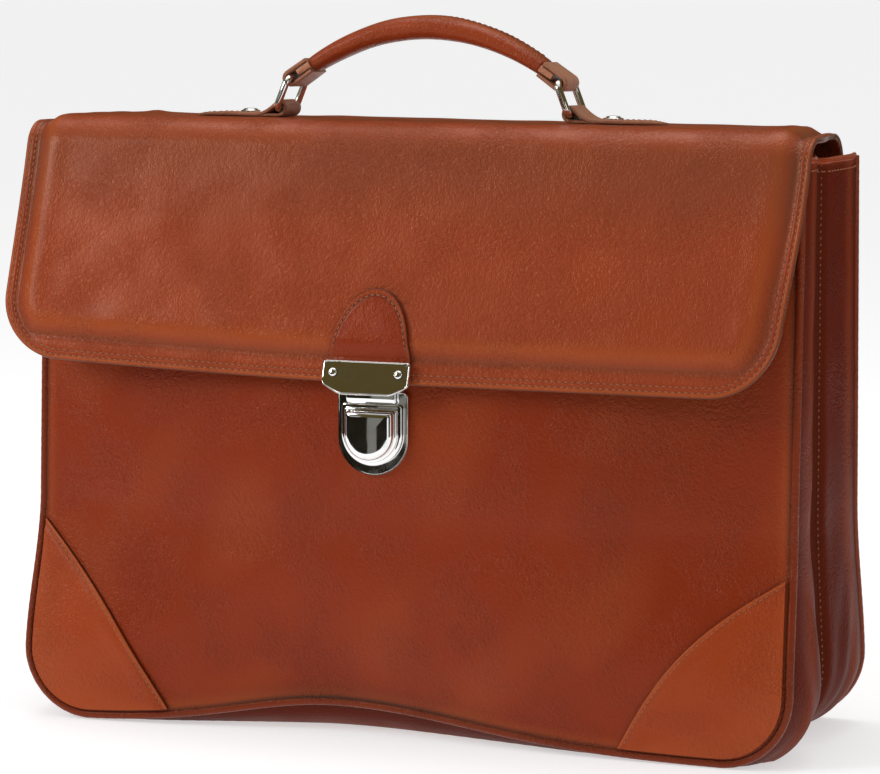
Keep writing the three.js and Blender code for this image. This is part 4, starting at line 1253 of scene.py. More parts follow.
@dataclass
class Flap:
    """The flap with its stitched border and the tab over the lock."""

    flap: FlapForm
    finishes: Finishes
    lock_shift: float = -8.5
    tab_width: float = 42.0
    tab_height: float = 40.0
    tab_leather: float = 1.6
    tab_gap: float = 0.7
    plate_drop: float = 6.5
    stitch_rows: tuple[float, float] = (2.4, 4.9)
    rear_rows: tuple[float, float] = (3.0, 6.5)
    groove: float = 0.3

    def surface_height(self, x: Array, distance: Array) -> Array:
        """Height of the outer face: padding, rounded edge and the grooves that hold the stitches."""
        flap = self.flap
        edge = flap.edge_distance(x, distance)
        height = flap.pad_height(x, distance) + rounded_edge(np.clip(edge, 0, None), 1.1)
        for row in self.stitch_rows:
            height = height - self.groove * bell(edge, row, 0.55)
        return height + 0.25 * bell(edge, 3.65, 0.6)

    def build(self) -> None:
        """Builds the flap, its stitches and the tab."""
        self.build_cover()
        self.build_border_stitches()
        self.build_tab()

    def grid(self) -> tuple[Array, Array]:
        """Places x and distance of a grid that is close together near the free edges."""
        flap = self.flap
        near = np.array([
            0, 0.15, 0.45, 0.9, 1.4, 1.9, 2.4, 2.9, 3.6, 4.3, 4.9, 5.5, 6.4, 7.4, 8.6, 10, 11.5, 13, 15,
        ])
        rows = np.concatenate([near, np.arange(16.6, flap.front_length, 2.6)])
        rest = np.linspace(flap.front_length, flap.path.length - 1.2, 66)
        last = flap.path.length - np.array([0.8, 0.3, 0.0])
        distance = np.concatenate([rows, rest, last])[:, None]
        half = flap.corner_half(distance)
        middle = np.linspace(-1, 1, 150)[None, :] * (half - 17.0)
        x = np.concatenate([near[None, :] - half, middle, half - near[None, ::-1]], axis=1)
        return x, distance + 0 * x

    def build_cover(self) -> None:
        """The padded cover: the form's own surface, with ridges and edges paler as wear with painted
        highlight, a painted highlight along the top bend, painted shade in the pad's foot crease, the stitch
        grooves and below the top bend, and dark-painted cut edges.
        """
        flap = self.flap
        x, distance = self.grid()
        outer = flap.point(x, distance, self.surface_height(x, distance))
        edge = flap.edge_distance(x, distance)
        inside = flap.inside_border(x, distance)
        inner = flap.point(x, distance, -flap.leather - rounded_edge(np.clip(edge, 0, None), 1.1))
        dip = sum(bell(edge, row, 0.6) for row in self.stitch_rows)
        # Paler pad ridge and rounded edge: wear with painted highlight; the band along the top bend is a
        # painted highlight. The shade mask is painted shade in the pad's foot crease, in the stitch grooves
        # and in a band below the top bend.
        masks = {
            "worn": 0.3 * bell(inside, 7.0, 3.0) + 0.4 * bell(edge, 1.4, 0.7)
            + 0.12 * bell(distance, flap.front_length + 9.0, 7.0),
            "shade": 0.5 * bell(inside, 0.2, 1.7) + 0.15 * dip
            + 0.4 * ease(flap.front_length * 0.55, flap.front_length * 0.97, distance)
            * (1 - ease(flap.front_length, flap.front_length + 12.0, distance)),
            "painted": 1 - ease(0.1, 0.8, np.minimum(edge, flap.path.length - distance)),
        }
        surface = wall(outer, inner, masks)
        cover = add_piece("flap", surface, self.finishes.tan, stands_for=("flap",))

    def border_line(self, inset: float) -> tuple[Array, Array]:
        """Places x and distance of a line inside the free edge, from the left top round to the right."""
        flap = self.flap
        end = flap.strip_start
        up = np.linspace(end, flap.corner, 220)
        turn = np.linspace(0, math.pi / 2, 30)[1:]
        reach = flap.corner - inset
        x = np.concatenate([
            inset - flap.half(up),
            flap.corner - flap.half(flap.corner - reach * np.sin(turn)) - reach * np.cos(turn),
            np.linspace(flap.corner - flap.half(0.0), 0, 60)[1:],
        ])
        distance = np.concatenate([up, flap.corner - reach * np.sin(turn), np.full(59, inset)])
        return np.concatenate([x, -x[-2::-1]]), np.concatenate([distance, distance[-2::-1]])

    def build_border_stitches(self) -> None:
        """Two rows of stitches round the free edge, and two that hold the strip on the rear panel."""
        runs = []
        for row in self.stitch_rows:
            x, distance = self.border_line(row)
            line = self.flap.point(x, distance, self.surface_height(x, distance))
            above = self.flap.point(x, distance, self.surface_height(x, distance) + 1.0)
            runs.append(Stitching(length=1.9, hole_radius=0.72).along(line, above - line))
        for row in self.rear_rows:
            distance = np.full(60, self.flap.path.length - row)
            x = np.linspace(-1, 1, 60) * (self.flap.half(distance) - self.rear_rows[1])
            line = self.flap.point(x, distance, self.surface_height(x, distance) - 0.2)
            above = self.flap.point(x, distance, self.surface_height(x, distance) + 1.0)
            runs.append(Stitching(length=1.9, hole_radius=0.72).along(line, above - line))
        add_piece("flap_stitches", join_surfaces(runs), self.finishes.thread)

    def tab_over(self, x: Array, distance: Array) -> Array:
        """Height of the tab's underside over the flat border."""
        return self.flap.pad_height(x, distance) + self.tab_gap

    def build_tab(self) -> None:
        """The half oval of leather over the lock, with one row of stitches inside its edge."""
        middle = self.lock_shift - self.flap.lower_shift
        low = self.plate_drop - 1.0
        share = np.sin(np.linspace(0, math.pi / 2, 46)) * 0.999
        distance = (low + self.tab_height * share)[:, None]
        half = self.tab_width / 2 * np.sqrt(1 - share[:, None] ** 2.2)
        fine = np.array([0, 0.015, 0.045, 0.09])
        spread = np.concatenate([fine, np.linspace(0.14, 1.86, 40), 2 - fine[::-1]]) - 1
        x = middle + half * spread[None, :]
        gone = distance + 0 * x
        climb = clamp01((gone - low) / self.tab_height)
        radial = np.sqrt(np.abs((x - middle) / (self.tab_width / 2)) ** 2 + climb**2.2)
        inside = (1 - radial) * self.tab_width / 2
        over = self.tab_over(x, gone) + self.tab_leather + rounded_edge(np.clip(inside, 0, None), 0.8)
        over = over + 0.4 * ease(3, 9, inside) - 0.3 * bell(inside, 1.9, 0.7)
        masks = {
            "worn": 0.5 * bell(inside, 1.2, 0.8),
            "shade": 0.3 * bell(inside, 1.9, 0.7),
            "painted": 1 - ease(0.05, 0.5, inside),
        }
        outer = self.flap.point(x, gone, over)
        inner = self.flap.point(x, gone, self.tab_over(x, gone))
        surface = wall(outer, inner, masks)
        add_piece("lock_tab", surface, self.finishes.panel, stands_for=("lock_tab",))
        turn = np.linspace(0.0, math.pi, 160)
        ring = 1 - 1.9 / (self.tab_width / 2)
        sx = middle - np.cos(turn) * ring * self.tab_width / 2
        sd = low + self.tab_height * clamp01(np.sin(turn) * ring) ** (1 / 1.1)
        keep = sd > 15
        sx, sd = sx[keep], sd[keep]
        height = self.tab_over(sx, sd) + self.tab_leather - 0.15
        line = self.flap.point(sx, sd, height)
        above = self.flap.point(sx, sd, height + 1.0)
        stitches = Stitching(pitch=2.9, length=2.0, radius=0.36).along(line, above - line)
        add_piece("lock_tab_stitches", stitches, self.finishes.thread)


# Lock


def round_foot(width: float, height: float, steps: int = 40) -> Array:
    """Outline of a plate with a level top and a round foot, from its top middle at zero downward."""
    radius = width / 2
    corner = radius * 0.12
    turn = np.linspace(math.pi, 2 * math.pi, steps)
    foot = np.stack([radius * np.cos(turn), radius - height + radius * np.sin(turn)], axis=-1)
    bend = np.linspace(0, math.pi / 2, 5)
    right = np.stack([radius - corner + corner * np.cos(bend), corner * np.sin(bend) - corner], axis=-1)
    left = np.stack([-right[::-1, 0], right[::-1, 1]], axis=-1)
    return np.concatenate([foot, right, left])


def inset_outline(outline: Array, inset: float) -> Array:
    """Draws an outline in towards its middle until its sides have moved in by the inset."""
    low, high = outline.min(axis=0), outline.max(axis=0)
    middle, half = (low + high) / 2, (high - low) / 2
    return middle + (outline - middle) * np.maximum(1 - inset / half, 0.02)


def stepped_plate(outline: Array, rows: tuple[tuple[float, float], ...]) -> Surface:
    """A plate whose outline draws in from level to level.

    Args:
        outline: Closed outline, anticlockwise, as x and z.
        rows: Depth towards the front and inset of the outline for each level.

    Returns:
        A closed surface that faces -Y.
    """
    rings = []
    for depth, inset in rows:
        line = inset_outline(outline, inset)
        rings.append(np.stack([line[:, 0], np.full(len(line), -depth), line[:, 1]], axis=-1))
    return tube(np.array(rings))


@dataclass
class PressLock:
    """The chrome lock: a plate on the flap, and a base with its thumb piece on the front panel."""

    form: CaseForm
    flap: FlapForm
    finishes: Finishes
    lock_shift: float = -8.5
    tab_gap: float = 0.7
    tab_leather: float = 1.6
    plate_width: float = 44.5
    plate_height: float = 16.5
    plate_thickness: float = 1.8
    plate_chamfer: float = 9.0
    plate_drop: float = 6.5
    base_width: float = 36.0
    base_height: float = 41.0
    base_thickness: float = 2.4
    slide_width: float = 31.0
    slide_height: float = 30.0
    slide_depth: float = 8.5
    slide_below: float = 6.0
    face_bow: float = 2.4
    tongue_rise: float = 4.4

    def build(self) -> None:
        """Builds the pieces of the lock at the places of their CAD nodes."""
        self.build_plate()
        self.build_rivets()
        self.build_base()
        self.build_slide()
        self.build_tongue()

    def leaning(self, surface: Surface, seat: Array) -> Surface:
        """Turns a surface that faces -Y to the slope of the flap's front and seats it there."""
        flap = self.flap
        slope = math.atan2(flap.front_bend - flap.lower_reach, flap.top_height - flap.lower_height)
        c, s = math.cos(slope), math.sin(slope)
        turn = np.array([[1, 0, 0], [0, c, -s], [0, s, c]])
        surface.points = surface.points @ turn.T + seat
        return surface

    def plate_seat(self) -> Array:
        """Middle of the flap's lower edge under the lock, on the outside of the tab."""
        middle = self.lock_shift - self.flap.lower_shift
        over = self.tab_gap + self.tab_leather + self.form.gap
        return self.flap.point(np.array(middle), np.array(0.0), over)

    def build_plate(self) -> None:
        """The plate, with chamfered lower corners and a bright raised rim."""
        half = self.plate_width / 2
        low, top, cut = -self.plate_drop, self.plate_height - self.plate_drop, self.plate_chamfer
        left = np.array([[-half, top], [-half, low + cut / 2], [cut - half, low]])
        outline = self.rounded(np.concatenate([left, left[::-1] * [-1, 1]]), 1.6)
        deep = self.plate_thickness
        rows = (
            (0.0, 0.25), (deep * 0.3, 0.0), (deep * 0.85, 0.08), (deep, 0.3), (deep, 0.62),
            (deep * 0.84, 0.8), (deep * 0.84, 1.6), (deep * 0.84, 3.0),
        )
        surface = self.leaning(stepped_plate(outline, rows), self.plate_seat())
        add_piece("lock_plate", surface, self.finishes.chrome, stands_for=("lock_plate",))

    def rounded(self, corners: Array, radius: float) -> Array:
        """An outline with each corner replaced by five points of a quadratic curve."""
        before = unit(np.roll(corners, 1, axis=0) - corners)
        after = unit(np.roll(corners, -1, axis=0) - corners)
        t = np.linspace(0, 1, 6)[None, :, None]
        start = corners[:, None] + before[:, None] * radius
        end = corners[:, None] + after[:, None] * radius
        curve = start * (1 - t) ** 2 + 2 * corners[:, None] * t * (1 - t) + end * t**2
        return curve.reshape(-1, 2)

    def build_rivets(self) -> None:
        """A low dome on either end of the plate, with a dark ring round it."""
        angle = circle_angles(24)
        profile = ((2.0, 0.0), (2.0, 0.2), (1.8, 0.5), (1.3, 0.75), (0.6, 0.88))
        for suffix, sideways in (("left", -1), ("right", 1)):
            x = sideways * (self.plate_width / 2 - 5.5)
            z = (self.plate_height + self.plate_chamfer / 2) / 2 - self.plate_drop
            back = self.plate_thickness + self.form.gap
            rings = np.array([
                np.stack([x + r * np.cos(angle), np.full(24, -back - rise), z + r * np.sin(angle)], axis=-1)
                for r, rise in profile
            ])
            surface = self.leaning(tube(rings), self.plate_seat())
            name = f"lock_rivet_{suffix}"
            add_piece(name, surface, self.finishes.chrome, stands_for=(name,))

    def base_seat(self) -> Array:
        """Top middle of the back of the base, from the CAD node."""
        low, high = (np.array(corner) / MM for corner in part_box("lock_base"))
        return np.array([(low[0] + high[0]) / 2, high[1], high[2]])

    def build_base(self) -> None:
        """The U-shaped base with a raised rim and a sunk floor."""
        deep = self.base_thickness
        outline = round_foot(self.base_width, self.base_height)
        rows = (
            (0.0, 0.2), (deep * 0.4, 0.0), (deep * 0.9, 0.06), (deep, 0.25), (deep, 0.6),
            (deep * 0.86, 0.8), (deep * 0.86, 1.6), (deep * 0.86, 3.0),
        )
        surface = stepped_plate(outline, rows)
        surface.points = surface.points + self.base_seat()
        add_piece("lock_base", surface, self.finishes.chrome, stands_for=("lock_base",))

    def build_slide(self) -> None:
        """The thumb piece: two steps, then a block whose face falls back as x squared at its sides."""
        outline = round_foot(self.slide_width, self.slide_height)
        deep = self.slide_depth
        rows = (
            (0.0, 0.2), (0.14, 0.0), (0.2, 0.1), (0.23, 0.35), (0.235, 1.2), (0.24, 1.7), (0.42, 1.82),
            (0.48, 2.1), (0.49, 2.7), (0.5, 3.0), (0.82, 3.3), (0.93, 3.8), (0.985, 4.8), (1.0, 6.2),
            (1.0, 7.5), (1.0, 9.0), (1.0, 10.6), (1.0, 12.2), (1.0, 13.8), (1.0, 15.2),
        )
        surface = stepped_plate(outline, tuple((deep * share, inset) for share, inset in rows))
        share = -surface.points[:, 1] / deep
        surface.points[:, 1] += self.face_bow * share * (surface.points[:, 0] / (self.slide_width / 2)) ** 2
        offset = np.array([0.0, -self.base_thickness - self.form.gap, -self.slide_below])
        surface.points = surface.points + self.base_seat() + offset
        add_piece("lock_slide", surface, self.finishes.chrome, Body.CATCH, ("lock_slide",))

    def build_tongue(self) -> None:
        """The lip over the thumb piece: a small bar with two rounded ridges."""
        low, high = (np.array(corner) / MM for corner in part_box("lock_tongue"))
        high = high + np.array([0.0, 0.0, self.tongue_rise])
        middle = (low + high) / 2
        size = (high - low) / 2
        angle = circle_angles(32)
        across, over = squared_circle(angle, 0.6)
        groove = 1 - 0.22 * bell(over, 0.0, 0.18) * (across > 0)
        ends = np.array([-1.0, -0.985, -0.95, 0.95, 0.985, 1.0])
        shrink = np.array([0.82, 0.94, 1.0, 1.0, 0.94, 0.82])
        rings = np.stack([
            np.stack([
                np.full(32, middle[0] + size[0] * end),
                middle[1] - size[1] * across * groove * scale,
                middle[2] + size[2] * over * scale,
            ], axis=-1)
            for end, scale in zip(ends, shrink)
        ])
        add_piece("lock_tongue", tube(rings), self.finishes.chrome, stands_for=("lock_tongue",))


# Handle


@dataclass
class Handle:
    """The padded grip with its rolled ends, rings, straps and studs."""

    form: CaseForm
    flap: FlapForm
    finishes: Finishes
    shift: float = -4.5
    place: float = 0.33
    span: float = 140.0
    rise: float = 45.5
    thickness: float = 12.0
    width: float = 21.0
    end_share: float = 0.68
    strap_width: float = 20.0
    wire: float = 3.6
    ring_width: float = 21.5
    ring_height: float = 15.0
    ring_lean: float = 6.0
    roll_wall: float = 2.2
    chape_length: float = 46.5
    chape_thickness: float = 2.0
    chape_point: float = 12.0
    stud_radius: float = 5.0
    stud_height: float = 1.6
    stud_place: float = 19.0

    def __post_init__(self) -> None:
        """Finds the seat of the handle on the flap, and the bars of its rings."""
        flap = self.flap
        gap = self.form.gap
        distance = flap.top_start + flap.top_length * self.place
        place, normal = flap.path.at(np.array(distance))
        on_pad = place + normal * flap.pad
        self.seat = flap.form.placed(np.array(self.shift), on_pad[0], on_pad[1])
        self.roll_radius = self.wire / 2 + gap + self.roll_wall
        self.low_bar = np.array([self.span / 2 + self.ring_lean, gap + self.roll_radius])
        self.high_bar = np.array([self.span / 2, gap + self.roll_radius + self.ring_height])
        self.grip_end = self.high_bar[0] * 0.86
        self.fall = (self.rise - self.high_bar[1]) / self.high_bar[0] ** 2

    def seated(self, surface: Surface, sideways: int = 1) -> Surface:
        """Turns a surface of the handle's own frame onto the sloping top of the flap.

        Args:
            surface: Surface in the handle's frame, with X across and Z up.
            sideways: 1 for the right half, -1 for the left one, which is turned by half a turn.

        Returns:
            The same surface in the case's frame.
        """
        points = surface.points * np.array([sideways, sideways, 1])
        c, s = math.cos(-self.flap.fall), math.sin(-self.flap.fall)
        turn = np.array([[1, 0, 0], [0, c, -s], [0, s, c]])
        surface.points = points @ turn.T + self.seat
        return surface

    def arch(self, x: Array) -> Array:
        """Height of the grip's middle line: a parabola from ring to ring."""
        return self.rise - self.fall * x**2

    def build(self) -> None:
        """Builds the grip and both ends."""
        self.build_grip()
        for suffix, sideways in (("left", -1), ("right", 1)):
            self.build_end(suffix, sideways)
            self.build_chape(suffix, sideways)
            self.build_ring(suffix, sideways)
            self.build_stud(suffix, sideways)

    def grip_ring(self, share: Array, angle: Array, proud: float = 0.0) -> Array:
        """Points of the grip's skin.

        Args:
            share: Places from -1 at the left end to 1 at the right end, shape (n,).
            angle: Angles round the section, shape (m,), with 90 degrees on top.
            proud: Distance outside the skin.

        Returns:
            Points of shape (n, m, 3): a rounded section that thins towards the ends, with a raised
            seam band along its upper rear side.
        """
        x = self.grip_end * share
        size = 1 + (self.end_share - 1) * np.abs(share) ** 1.6
        along = unit(np.stack([np.ones_like(x), 0 * x, -2 * self.fall * x], axis=-1))
        up = np.stack([-along[:, 2], 0 * x, along[:, 0]], axis=-1)
        middle = np.stack([x, 0 * x, self.arch(x)], axis=-1)
        across, over = squared_circle(angle, 0.85)
        welt = 0.55 * bell(angle, 0.9, 0.16) * (1 - np.abs(share)[:, None] ** 6)
        puff = 0.12 * ripple(30 * share[:, None] + 0 * angle, 14 * angle[None, :], 13.0, 3)
        thick = over[None, :] * size[:, None] * self.thickness / 2
        wide = across[None, :] * (0.5 + size[:, None] / 2) * self.width / 2
        out = up[:, None] * thick[..., None] + np.array([0, 1.0, 0]) * wide[..., None]
        return middle[:, None] + out + unit(out) * (welt + puff + proud)[..., None]

    def build_grip(self) -> None:
        """The padded grip with a welt and two rows of stitches beside it, a painted highlight along its
        front top and painted shade beside the welt and towards its ends.
        """
        edge = np.array([-1, -0.995, -0.985, -0.97])
        share = np.concatenate([edge, np.linspace(-0.955, 0.955, 130), -edge[::-1]])
        angle = circle_angles(60)
        rings = self.grip_ring(share, angle)
        close = np.array([0.8, 0.93, 0.985, 1.0])
        shrink = np.concatenate([close, np.ones(130), close[::-1]])[:, None, None]
        centre = rings.mean(axis=1, keepdims=True)
        rings = centre + (rings - centre) * shrink
        near = bell(angle, 0.9, 0.1)
        masks = {
            # Wear on the welt and a painted highlight along the front top; the shade mask is painted shade
            # beside the welt and towards the ends.
            "worn": 0.45 * near[None, :] + 0.4 * bell(angle, 2.1, 0.22)[None, :] + 0 * share[:, None],
            "shade": 0.4 * bell(angle, 0.62, 0.09)[None, :] + 0.25 * np.abs(share[:, None]) ** 9,
            "painted": 0 * share[:, None] + 0 * angle[None, :],
        }
        surface = self.seated(tube(rings, masks=masks))
        grip = add_piece("handle_grip", surface, self.finishes.tan, stands_for=("handle_grip",))
        line_share = np.linspace(-0.94, 0.94, 120)
        runs = []
        for spot in (0.62, 1.2):
            line = self.grip_ring(line_share, np.array([spot]))[:, 0]
            above = self.grip_ring(line_share, np.array([spot]), 1.0)[:, 0]
            runs.append(Stitching(pitch=3.0, length=2.1, radius=0.36).along(line, above - line))
        add_piece("handle_grip_stitches", self.seated(join_surfaces(runs)), self.finishes.thread)

    def strap_walls(
        self, outer: Array, inner: Array, widths: Array, masks_at: Array | None = None
    ) -> Surface:
        """A strap whose two faces follow lines in the XZ plane.

        Args:
            outer: Line of the outer face, shape (n, 2).
            inner: Line of the inner face, shape (n, 2).
            widths: Half width of the strap at each place, shape (n,).
            masks_at: Wear at each place, or None.

        Returns:
            A wall with rounded long edges.
        """
        across = np.array([-1, -0.985, -0.94, -0.86, -0.5, 0, 0.5, 0.86, 0.94, 0.985, 1])
        soft = np.array([0.5, 0.3, 0.1, 0.0, 0.0, 0.0, 0.0, 0.0, 0.1, 0.3, 0.5])
        middle = (outer + inner) / 2
        grids = []
        for line in (outer, inner):
            pulled = line[:, None] + (middle - line)[:, None] * soft[None, :, None]
            y = widths[:, None] * across[None, :]
            grids.append(np.stack([pulled[..., 0], y, pulled[..., 1]], axis=-1))
        edge = (np.abs(across) > 0.93)[None, :] * np.ones((len(outer), 1))
        wear = np.zeros((len(outer), 1)) if masks_at is None else masks_at[:, None]
        masks = {"worn": wear + 0 * edge, "shade": 0.1 * edge, "painted": 0.25 * edge}
        return wall(grids[0], grids[1], masks)

    def rolled_line(
        self, bar: Array, start: float, end: float, legs: tuple[Array, Array], thick: float
    ) -> tuple[Array, Array]:
        """Lines of a strap that comes in along one leg, rolls round a bar and leaves along another.

        Args:
            bar: Middle of the bar.
            start: Angle at which the roll begins.
            end: Angle at which it ends.
            legs: Far ends of the two legs' outer faces.
            thick: Thickness of the strap.

        Returns:
            The outer and the inner line.
        """
        turn = np.linspace(start, end, 30)
        out = np.stack([np.cos(turn), np.sin(turn)], axis=-1)
        outer_arc = bar + out * self.roll_radius
        inner_arc = bar + out * (self.roll_radius - thick)
        lines = []
        for arc, side in ((outer_arc, 0.0), (inner_arc, thick)):
            first = legs[0] - out[0] * side
            last = legs[1] - out[-1] * side
            lead = np.linspace(first, arc[0], 12)[:-1]
            tail = np.linspace(arc[-1], last, 12)[1:]
            lines.append(np.concatenate([lead, arc, tail]))
        return lines[0], lines[1]

    def build_end(self, suffix: str, sideways: int) -> None:
        """The rolled end: a strap from the grip round the ring's high bar and back under it."""
        tilt = math.atan(2 * self.fall * self.grip_end)
        back = np.array([-math.cos(tilt), math.sin(tilt)])
        normal = np.array([math.sin(tilt), math.cos(tilt)])
        half = self.thickness * self.end_share / 2
        start = np.array([self.grip_end, self.arch(np.array(self.grip_end))]) - back * (self.form.gap + 0.2)
        legs = (start + normal * half, start - normal * half)
        top = math.pi / 2 - tilt
        outer, inner = self.rolled_line(self.high_bar, top, top - math.pi, legs, self.roll_wall * 0.92)
        width = np.full(len(outer), self.strap_width / 2)
        strap = self.strap_walls(outer, inner, width, np.full(len(outer), 0.25))
        name = f"handle_end_{suffix}"
        add_piece(name, self.seated(strap, sideways), self.finishes.strap, stands_for=(name,))
        core = self.seated(self.core(start, back, normal, half), sideways)
        add_piece(f"grip_core_{suffix}", core, self.finishes.strap)

    def core(self, start: Array, back: Array, normal: Array, half: float) -> Surface:
        """The end of the grip's own leather, a rounded wedge between the strap's two legs."""
        reach = float(np.linalg.norm(self.high_bar - start)) - self.roll_radius - 0.2
        along = np.linspace(-0.1, 1, 8)
        thick = (half - 2.1) * (1 - 0.12 * clamp01(along) ** 3)
        angle = circle_angles(24)
        across, over = squared_circle(angle, 0.35)
        wide = np.broadcast_to(across * (self.strap_width / 2 - 0.1), (len(along), len(angle)))
        place = start - back * reach * along[:, None, None] + normal * (thick[:, None] * over)[..., None]
        rings = np.stack([place[..., 0], wide, place[..., 1]], axis=-1)
        zero = np.zeros(rings.shape[:2])
        return tube(rings, masks={"worn": zero + 0.1, "shade": zero, "painted": zero})

    def build_chape(self, suffix: str, sideways: int) -> None:
        """The strap on the flap: from its pointed end over the ring's low bar and back under itself."""
        gap = self.form.gap
        end = self.low_bar[0] + self.chape_length
        thick = self.chape_thickness
        top_leg = np.array([end, gap + thick])
        close = np.array([0, 0.15, 0.6, 1.4, 2.6, 4.2, 6, 8, 10])
        x = end - np.concatenate([close, np.linspace(12, 36, 12)])
        half = self.strap_width / 2
        point = np.sqrt(clamp01(1 - (1 - clamp01((end - x) / self.chape_point)) ** 2))
        rise_from = self.low_bar[0] + 2.6 * self.roll_radius
        turn = np.linspace(0.42 * math.pi, 1.5 * math.pi, 34)
        arc = self.low_bar + self.roll_radius * np.stack([np.cos(turn), np.sin(turn)], axis=-1)
        ramp_x = np.linspace(rise_from, arc[0, 0], 12)[1:-1]
        k = (ramp_x - rise_from) / (arc[0, 0] - rise_from)
        ramp_z = top_leg[1] + (arc[0, 1] - top_leg[1]) * (0.35 * k + 0.65 * k**2)
        outer = np.concatenate([
            np.stack([x[x > rise_from], np.full((x > rise_from).sum(), top_leg[1])], axis=-1),
            np.stack([ramp_x, ramp_z], axis=-1),
            arc,
        ])
        widths = np.full(len(outer), half)
        widths[: (x > rise_from).sum()] = half * np.maximum(point[x > rise_from], 0.03)
        ahead = unit(np.gradient(outer, axis=0))
        inward = np.stack([-ahead[:, 1], ahead[:, 0]], axis=-1)
        inner = outer + inward * thick * 0.97
        inner[:, 1] = np.maximum(inner[:, 1], gap)
        wear = 0.3 * bell(np.arange(len(outer)), 24, 8.0)
        skived = 1 - 0.55 * ease(end - self.chape_point, end, outer[:, 0])
        outer[:, 1] = inner[:, 1] + (outer[:, 1] - inner[:, 1]) * skived
        upper = self.strap_walls(outer, inner, widths, wear)
        foot_x = np.linspace(self.low_bar[0], rise_from + 3, 12)
        foot_top = np.minimum(gap + 1.6 + 0 * foot_x, np.interp(foot_x, ramp_x[::-1], ramp_z[::-1]) - thick)
        foot = self.strap_walls(
            np.stack([foot_x, np.maximum(foot_top, gap + 0.3)], axis=-1),
            np.stack([foot_x, np.full(12, gap)], axis=-1),
            np.full(12, half - 0.3),
        )
        name = f"chape_{suffix}"
        surface = self.seated(join_surfaces([upper, foot]), sideways)
        add_piece(name, surface, self.finishes.strap, stands_for=(name,))
        self.build_chape_stitches(suffix, sideways, end, half, gap + thick)

    def build_chape_stitches(self, suffix: str, sideways: int, end: float, half: float, top: float) -> None:
        """A row of stitches inside the pointed outline of a chape."""
        inset = 2.2
        low = end - 30.0
        turn = np.linspace(-math.pi / 2, math.pi / 2, 40)
        x = np.concatenate([
            np.linspace(low, end - self.chape_point, 20)[:-1],
            end - self.chape_point + (self.chape_point - inset) * np.cos(turn),
            np.linspace(end - self.chape_point, low, 20)[1:],
        ])
        leg = np.full(19, half - inset)
        y = np.concatenate([-leg, (half - inset) * np.sin(turn), leg])
        skived = 1 - 0.55 * ease(end - self.chape_point, end, x)
        line = np.stack([x, y, top - 0.1 + self.chape_thickness * (skived - 1)], axis=-1)
        normal = np.tile([0.0, 0.0, 1.0], (len(x), 1))
        stitches = Stitching(pitch=2.8, length=1.9, radius=0.34).along(line, normal)
        add_piece(f"chape_{suffix}_stitches", self.seated(stitches, sideways), self.finishes.thread)

    def build_ring(self, suffix: str, sideways: int) -> None:
        """A rectangular wire ring: a circle carried round a rounded rectangle."""
        low = np.array([self.low_bar[0], 0.0, self.low_bar[1]])
        climb = np.array([self.high_bar[0], 0.0, self.high_bar[1]]) - low
        tall = float(np.linalg.norm(climb))
        up = climb / tall
        level = np.array([0.0, 1.0, 0.0])
        aside = np.cross(level, up)
        bend = self.wire
        wide = (self.ring_width + self.wire) / 2
        quarter = np.linspace(0, math.pi / 2, 9)
        centres = ((wide - bend, bend, -1), (wide - bend, tall - bend, 0), (bend - wide, tall - bend, 1),
                   (bend - wide, bend, 2))
        around = circle_angles(20)
        rings = []
        for a, b, turns in centres:
            angle = turns * math.pi / 2 + quarter
            out = level * np.cos(angle)[:, None] + up * np.sin(angle)[:, None]
            middle = low + level * a + up * b + out * bend
            rings.append(
                middle[:, None]
                + self.wire / 2 * (out[:, None] * np.cos(around)[:, None] + aside * np.sin(around)[:, None])
            )
        surface = self.seated(tube(np.concatenate(rings), closed=True), sideways)
        name = f"ring_{suffix}"
        add_piece(name, surface, self.finishes.chrome, stands_for=(name,))

    def build_stud(self, suffix: str, sideways: int) -> None:
        """A low chrome stud: a flange, a groove and a dome, turned round its axis."""
        radius, height = self.stud_radius, self.stud_height
        share = ((1.0, 0.0), (1.0, 0.22), (0.95, 0.34), (0.82, 0.4), (0.76, 0.44), (0.74, 0.6), (0.66, 0.8),
                 (0.5, 0.93), (0.28, 0.99), (0.1, 1.0))
        angle = circle_angles(32)
        x = self.low_bar[0] + self.stud_place
        base = 2 * self.form.gap + self.chape_thickness
        out, rise = np.array(share).T[:, :, None] + 0 * angle
        around = (x + radius * out * np.cos(angle), radius * out * np.sin(angle), base + height * rise)
        rings = np.stack(around, axis=-1)
        name = f"stud_{suffix}"
        surface = self.seated(tube(rings), sideways)
        add_piece(name, surface, self.finishes.chrome, stands_for=(name,))


# Studio


